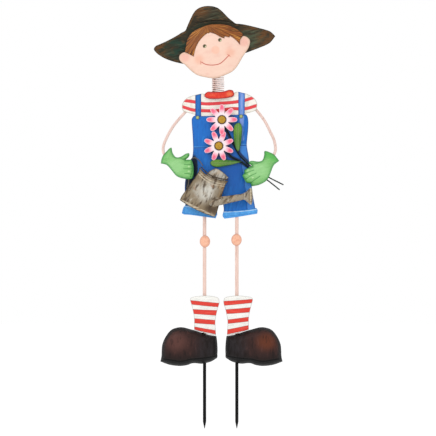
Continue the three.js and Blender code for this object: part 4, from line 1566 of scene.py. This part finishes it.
def make_spout(coat):
    """A tapered tube from the can's wall into the rose, with a bead round its root."""
    mesh = welded("can_spout")
    points = np.array([tuple(vert.co) for vert in mesh.verts])
    tree = BVHTree.FromBMesh(mesh)
    mesh.free()
    lean = math.radians(90 - SPOUT_RISE - CAN_TILT)
    axis = np.array((math.sin(lean), 0, math.cos(lean)))
    side = np.array((0, 1, 0.0))
    other = np.cross(axis, side)
    reach = points @ axis
    tip = points[reach > reach.max() - 0.5].mean(0)
    inside_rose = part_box("can_rose")[0].x / MM + 2
    neck = tip + axis * ((inside_rose - tip[0]) / axis[0])
    angles = [2 * math.pi * j / SPOUT_SIDES for j in range(SPOUT_SIDES)]
    rings = [math.cos(angle) * side + math.sin(angle) * other for angle in angles]

    def radius(back):
        """The tube's radius at a distance back from its tip."""
        return SPOUT_TIP + (SPOUT_ROOT - SPOUT_TIP) * back / SPOUT_LENGTH

    def root_of(ring):
        """How far back from the tip this side of the tube meets the can."""
        for back in np.arange(0, SPOUT_LENGTH, SPOUT_STEP):
            near = tree.find_nearest(Vector(tip - axis * back + ring * radius(back)))
            if near[3] > SPOUT_CLEAR:
                return back
        return SPOUT_LENGTH

    roots = [root_of(ring) for ring in rings]
    made = [neck + ring * SPOUT_NECK for ring in rings]
    for i in range(SPOUT_ROWS + 1):
        for ring, root in zip(rings, roots):
            back = root * i / SPOUT_ROWS
            rise = 0.9 * math.exp(-(((root - back) / 2.0) ** 2)) - 0.25
            made.append(tip - axis * back + ring * (radius(back) + rise))
    # The spout carries some painted highlight all over.
    values = everywhere(len(made), bright=0.4, dark=0, hem=0, edge=9)
    faces = rings_joined(SPOUT_ROWS + 2, SPOUT_SIDES)
    spout = piece("can_spout_tube", made, faces, (coat,), "can_spout", values)
    wall = spout.modifiers.new("wall", "SOLIDIFY")
    wall.thickness = 1.0 * MM
    wall.offset = -1


def make_rose(coat):
    """A funnel with a rolled rim and a domed face with holes in rings."""
    low, high = (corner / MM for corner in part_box("can_rose"))
    radius, length = (high.z - low.z) / 2, high.x - low.x
    dome = [(r, length - ROSE_DOME * (r / ROSE_FACE) ** 2) for r in np.linspace(ROSE_FACE, 0, 34)]
    funnel = [(7.8, 0), (9.2, 0), (9.4, 2.6), (10.4, 4.4), (radius - 1.0, 15.6)]
    rim = [(radius, 17.2), (radius, 18.6), (radius - 0.9, 19.8), (20.2, 20.2), (19.8, 21.2)]
    points, faces = turned([*funnel, *rim, *dome], 120)
    holes = []
    for ring, count in ROSE_RINGS:
        turns = [2 * math.pi * k / count for k in range(count)]
        holes += [(ring * math.cos(turn), ring * math.sin(turn)) for turn in turns]
    near = np.array([np.hypot(*(np.array(holes) - place).T).min() for place in points[:, :2]])
    on_face = points[:, 2] > length - 2
    hole = np.where(on_face, np.clip(1 - near / HOLE, 0, 1), 0)
    lip = np.where(on_face, hill(near - 1.4, 0.9), 0)
    points[:, 2] += 0.25 * lip - 1.1 * step_up(hole, 0.1, 0.6) - 0.3 * on_face
    x, y, z = points.T
    placed = np.stack([z + low.x, x + (low.y + high.y) / 2, y + (low.z + high.z) / 2], axis=1)
    # The rose carries some painted highlight all over.
    values = everywhere(len(points), bright=0.5, edge=9)
    # The pressed holes are painted dark, as painted shade in them.
    values.update({"dark": 1.3 * hole, "hem": hill(z - 18, 4)})
    piece("can_rose_funnel", placed, faces, (coat,), "can_rose", values)


# ------------------------------------------------------------------ brackets and welds

BRACKET_EDGE = 0.35
BEAD = 2.2  # radius of a weld bead
RIPPLE = 1.6  # from one ripple of a bead to the next
BEAD_REACH = 5  # half the length of a bead on the legs
TOP_WELDS = (6, 110)  # how far below the top of a leg tube its two upper pairs of welds are
LOW_WELDS = (404, 328, 176, 92)  # heights of the other pairs


def make_brackets(black):
    for node in ("neck_shelf", "head_bracket", "can_bracket", "can_base"):
        thing = frame["nodes"][node]
        thing.data.materials.clear()
        thing.data.materials.append(black)
        edge = thing.modifiers.new("edge", "BEVEL")
        edge.width = BRACKET_EDGE * MM
        edge.segments = 2


def bead(path):
    """A weld bead: a rod whose ripples follow each other along the seam."""

    def ripple(along, angles):
        return BEAD * (0.85 + 0.15 * math.cos(along * 2 * math.pi / RIPPLE)) + 0 * angles

    return tube(curve(path, 0.4), ripple, 12, BEAD * 0.6)


def welds(name, node, paths, coat):
    """Beads that ride on the node's body and stand for no node."""
    points, faces = [], []
    for path in paths:
        own_points, own_faces, _ = bead(path)
        faces += [[i + len(points) for i in face] for face in own_faces]
        points += own_points.tolist()
    thing = shape(name, points, faces, (coat,))
    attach(thing, body_of[node])


def make_welds(black):
    paths = []
    for side in ("left", "right"):
        low, high, radius = measured(f"{side}_leg_tube")
        middle = (low.x + high.x) / 2
        for level in (*(high.z - down for down in TOP_WELDS), *LOW_WELDS):
            for turn in (-1, 1):
                x = middle + turn * radius * 0.80
                paths.append([(x, low.y + 1.1, level + reach) for reach in (-BEAD_REACH, BEAD_REACH)])
    welds("leg_welds", "overalls", paths, black)
    low, high, _ = measured("head_bracket")
    sides = (low.x - 0.6, high.x + 0.6)
    welds("head_welds", "hat", [[(x, 1.6, high.z - 24), (x, 1.6, high.z - 2)] for x in sides], black)
    low, high, _ = measured("neck_shelf")
    sides = (low.x - 0.6, high.x + 0.6)
    welds("neck_welds", "shirt", [[(x, 2.6, low.z + 2), (x, 2.6, low.z + 24)] for x in sides], black)


# ------------------------------------------------------------------ room and camera, in metres

FLOOR_RADIUS = 6
FLOOR_GAP = 0.0005  # between the floor and the stakes' tips
GLOW = 0.95  # the floor's own light, which makes it about as white as the world
LAMPS = (  # each lamp's place, power and width
    ("key", (-1.3, -2.4, 1.9), 15, 0.7),
    ("fill", (1.8, -2.2, 0.9), 2, 1.4),
    ("rear", (0.6, 2.6, 1.8), 10, 1.0),
)
CAMERA_AWAY = 6.0
CAMERA_SHIFT = (-0.0021, -0.0016)  # of the photo's middle from the figure's, along X and Z
PICTURE_WIDTH = 1.0317  # as a share of the figure's height
SENSOR = 36  # millimetres


def make_floor(place):
    ring = [(FLOOR_RADIUS * math.cos(a), FLOOR_RADIUS * math.sin(a), 0)
            for a in np.linspace(0, 2 * math.pi, 96, endpoint=False)]
    mesh = bpy.data.meshes.new("floor")
    mesh.from_pydata(ring, [], [list(range(len(ring)))])
    floor = bpy.data.objects.new("floor", mesh)
    floor.location = place
    bpy.context.scene.collection.objects.link(floor)
    material = bpy.data.materials.new("pale_floor")
    material.use_nodes = True
    shader = material.node_tree.nodes["Principled BSDF"]
    shader.inputs["Base Color"].default_value = (0.1, 0.1, 0.1, 1)
    shader.inputs["Emission Color"].default_value = (1, 1, 1, 1)
    shader.inputs["Emission Strength"].default_value = GLOW
    shader.inputs["Roughness"].default_value = 0.9
    shader.inputs["Specular IOR Level"].default_value = 0
    mesh.materials.append(material)


def make_room():
    low, high = cad_box
    middle = (low + high) / 2
    make_floor((middle.x, middle.y, low.z - FLOOR_GAP))
    world = bpy.data.worlds.new("studio")
    world.use_nodes = True
    world.node_tree.nodes["Background"].inputs["Color"].default_value = (1, 1, 1, 1)
    world.node_tree.nodes["Background"].inputs["Strength"].default_value = 1.0
    scene = bpy.context.scene
    scene.world = world
    scene.view_settings.view_transform = "Standard"
    for name, place, power, size in LAMPS:
        lamp = bpy.data.lights.new(name, "AREA")
        lamp.energy = power
        lamp.size = size
        holder = bpy.data.objects.new(name, lamp)
        holder.location = place
        holder.rotation_euler = (middle - Vector(place)).to_track_quat("-Z", "Y").to_euler()
        scene.collection.objects.link(holder)
    lens = bpy.data.cameras.new("camera")
    lens.sensor_width = SENSOR
    lens.lens = SENSOR * CAMERA_AWAY / (PICTURE_WIDTH * (high.z - low.z))
    lens.clip_end = 100
    camera = bpy.data.objects.new("camera", lens)
    camera.location = (middle.x + CAMERA_SHIFT[0], -CAMERA_AWAY, middle.z + CAMERA_SHIFT[1])
    camera.rotation_euler = (math.pi / 2, 0, 0)
    scene.collection.objects.link(camera)
    scene.camera = camera


make_room()
make_head()
make_clothes()
make_gloves()
black = black_coat()
make_legs(black)
make_arms()
make_flowers()
make_spring()
make_can()
make_brackets(black)
make_welds(black)
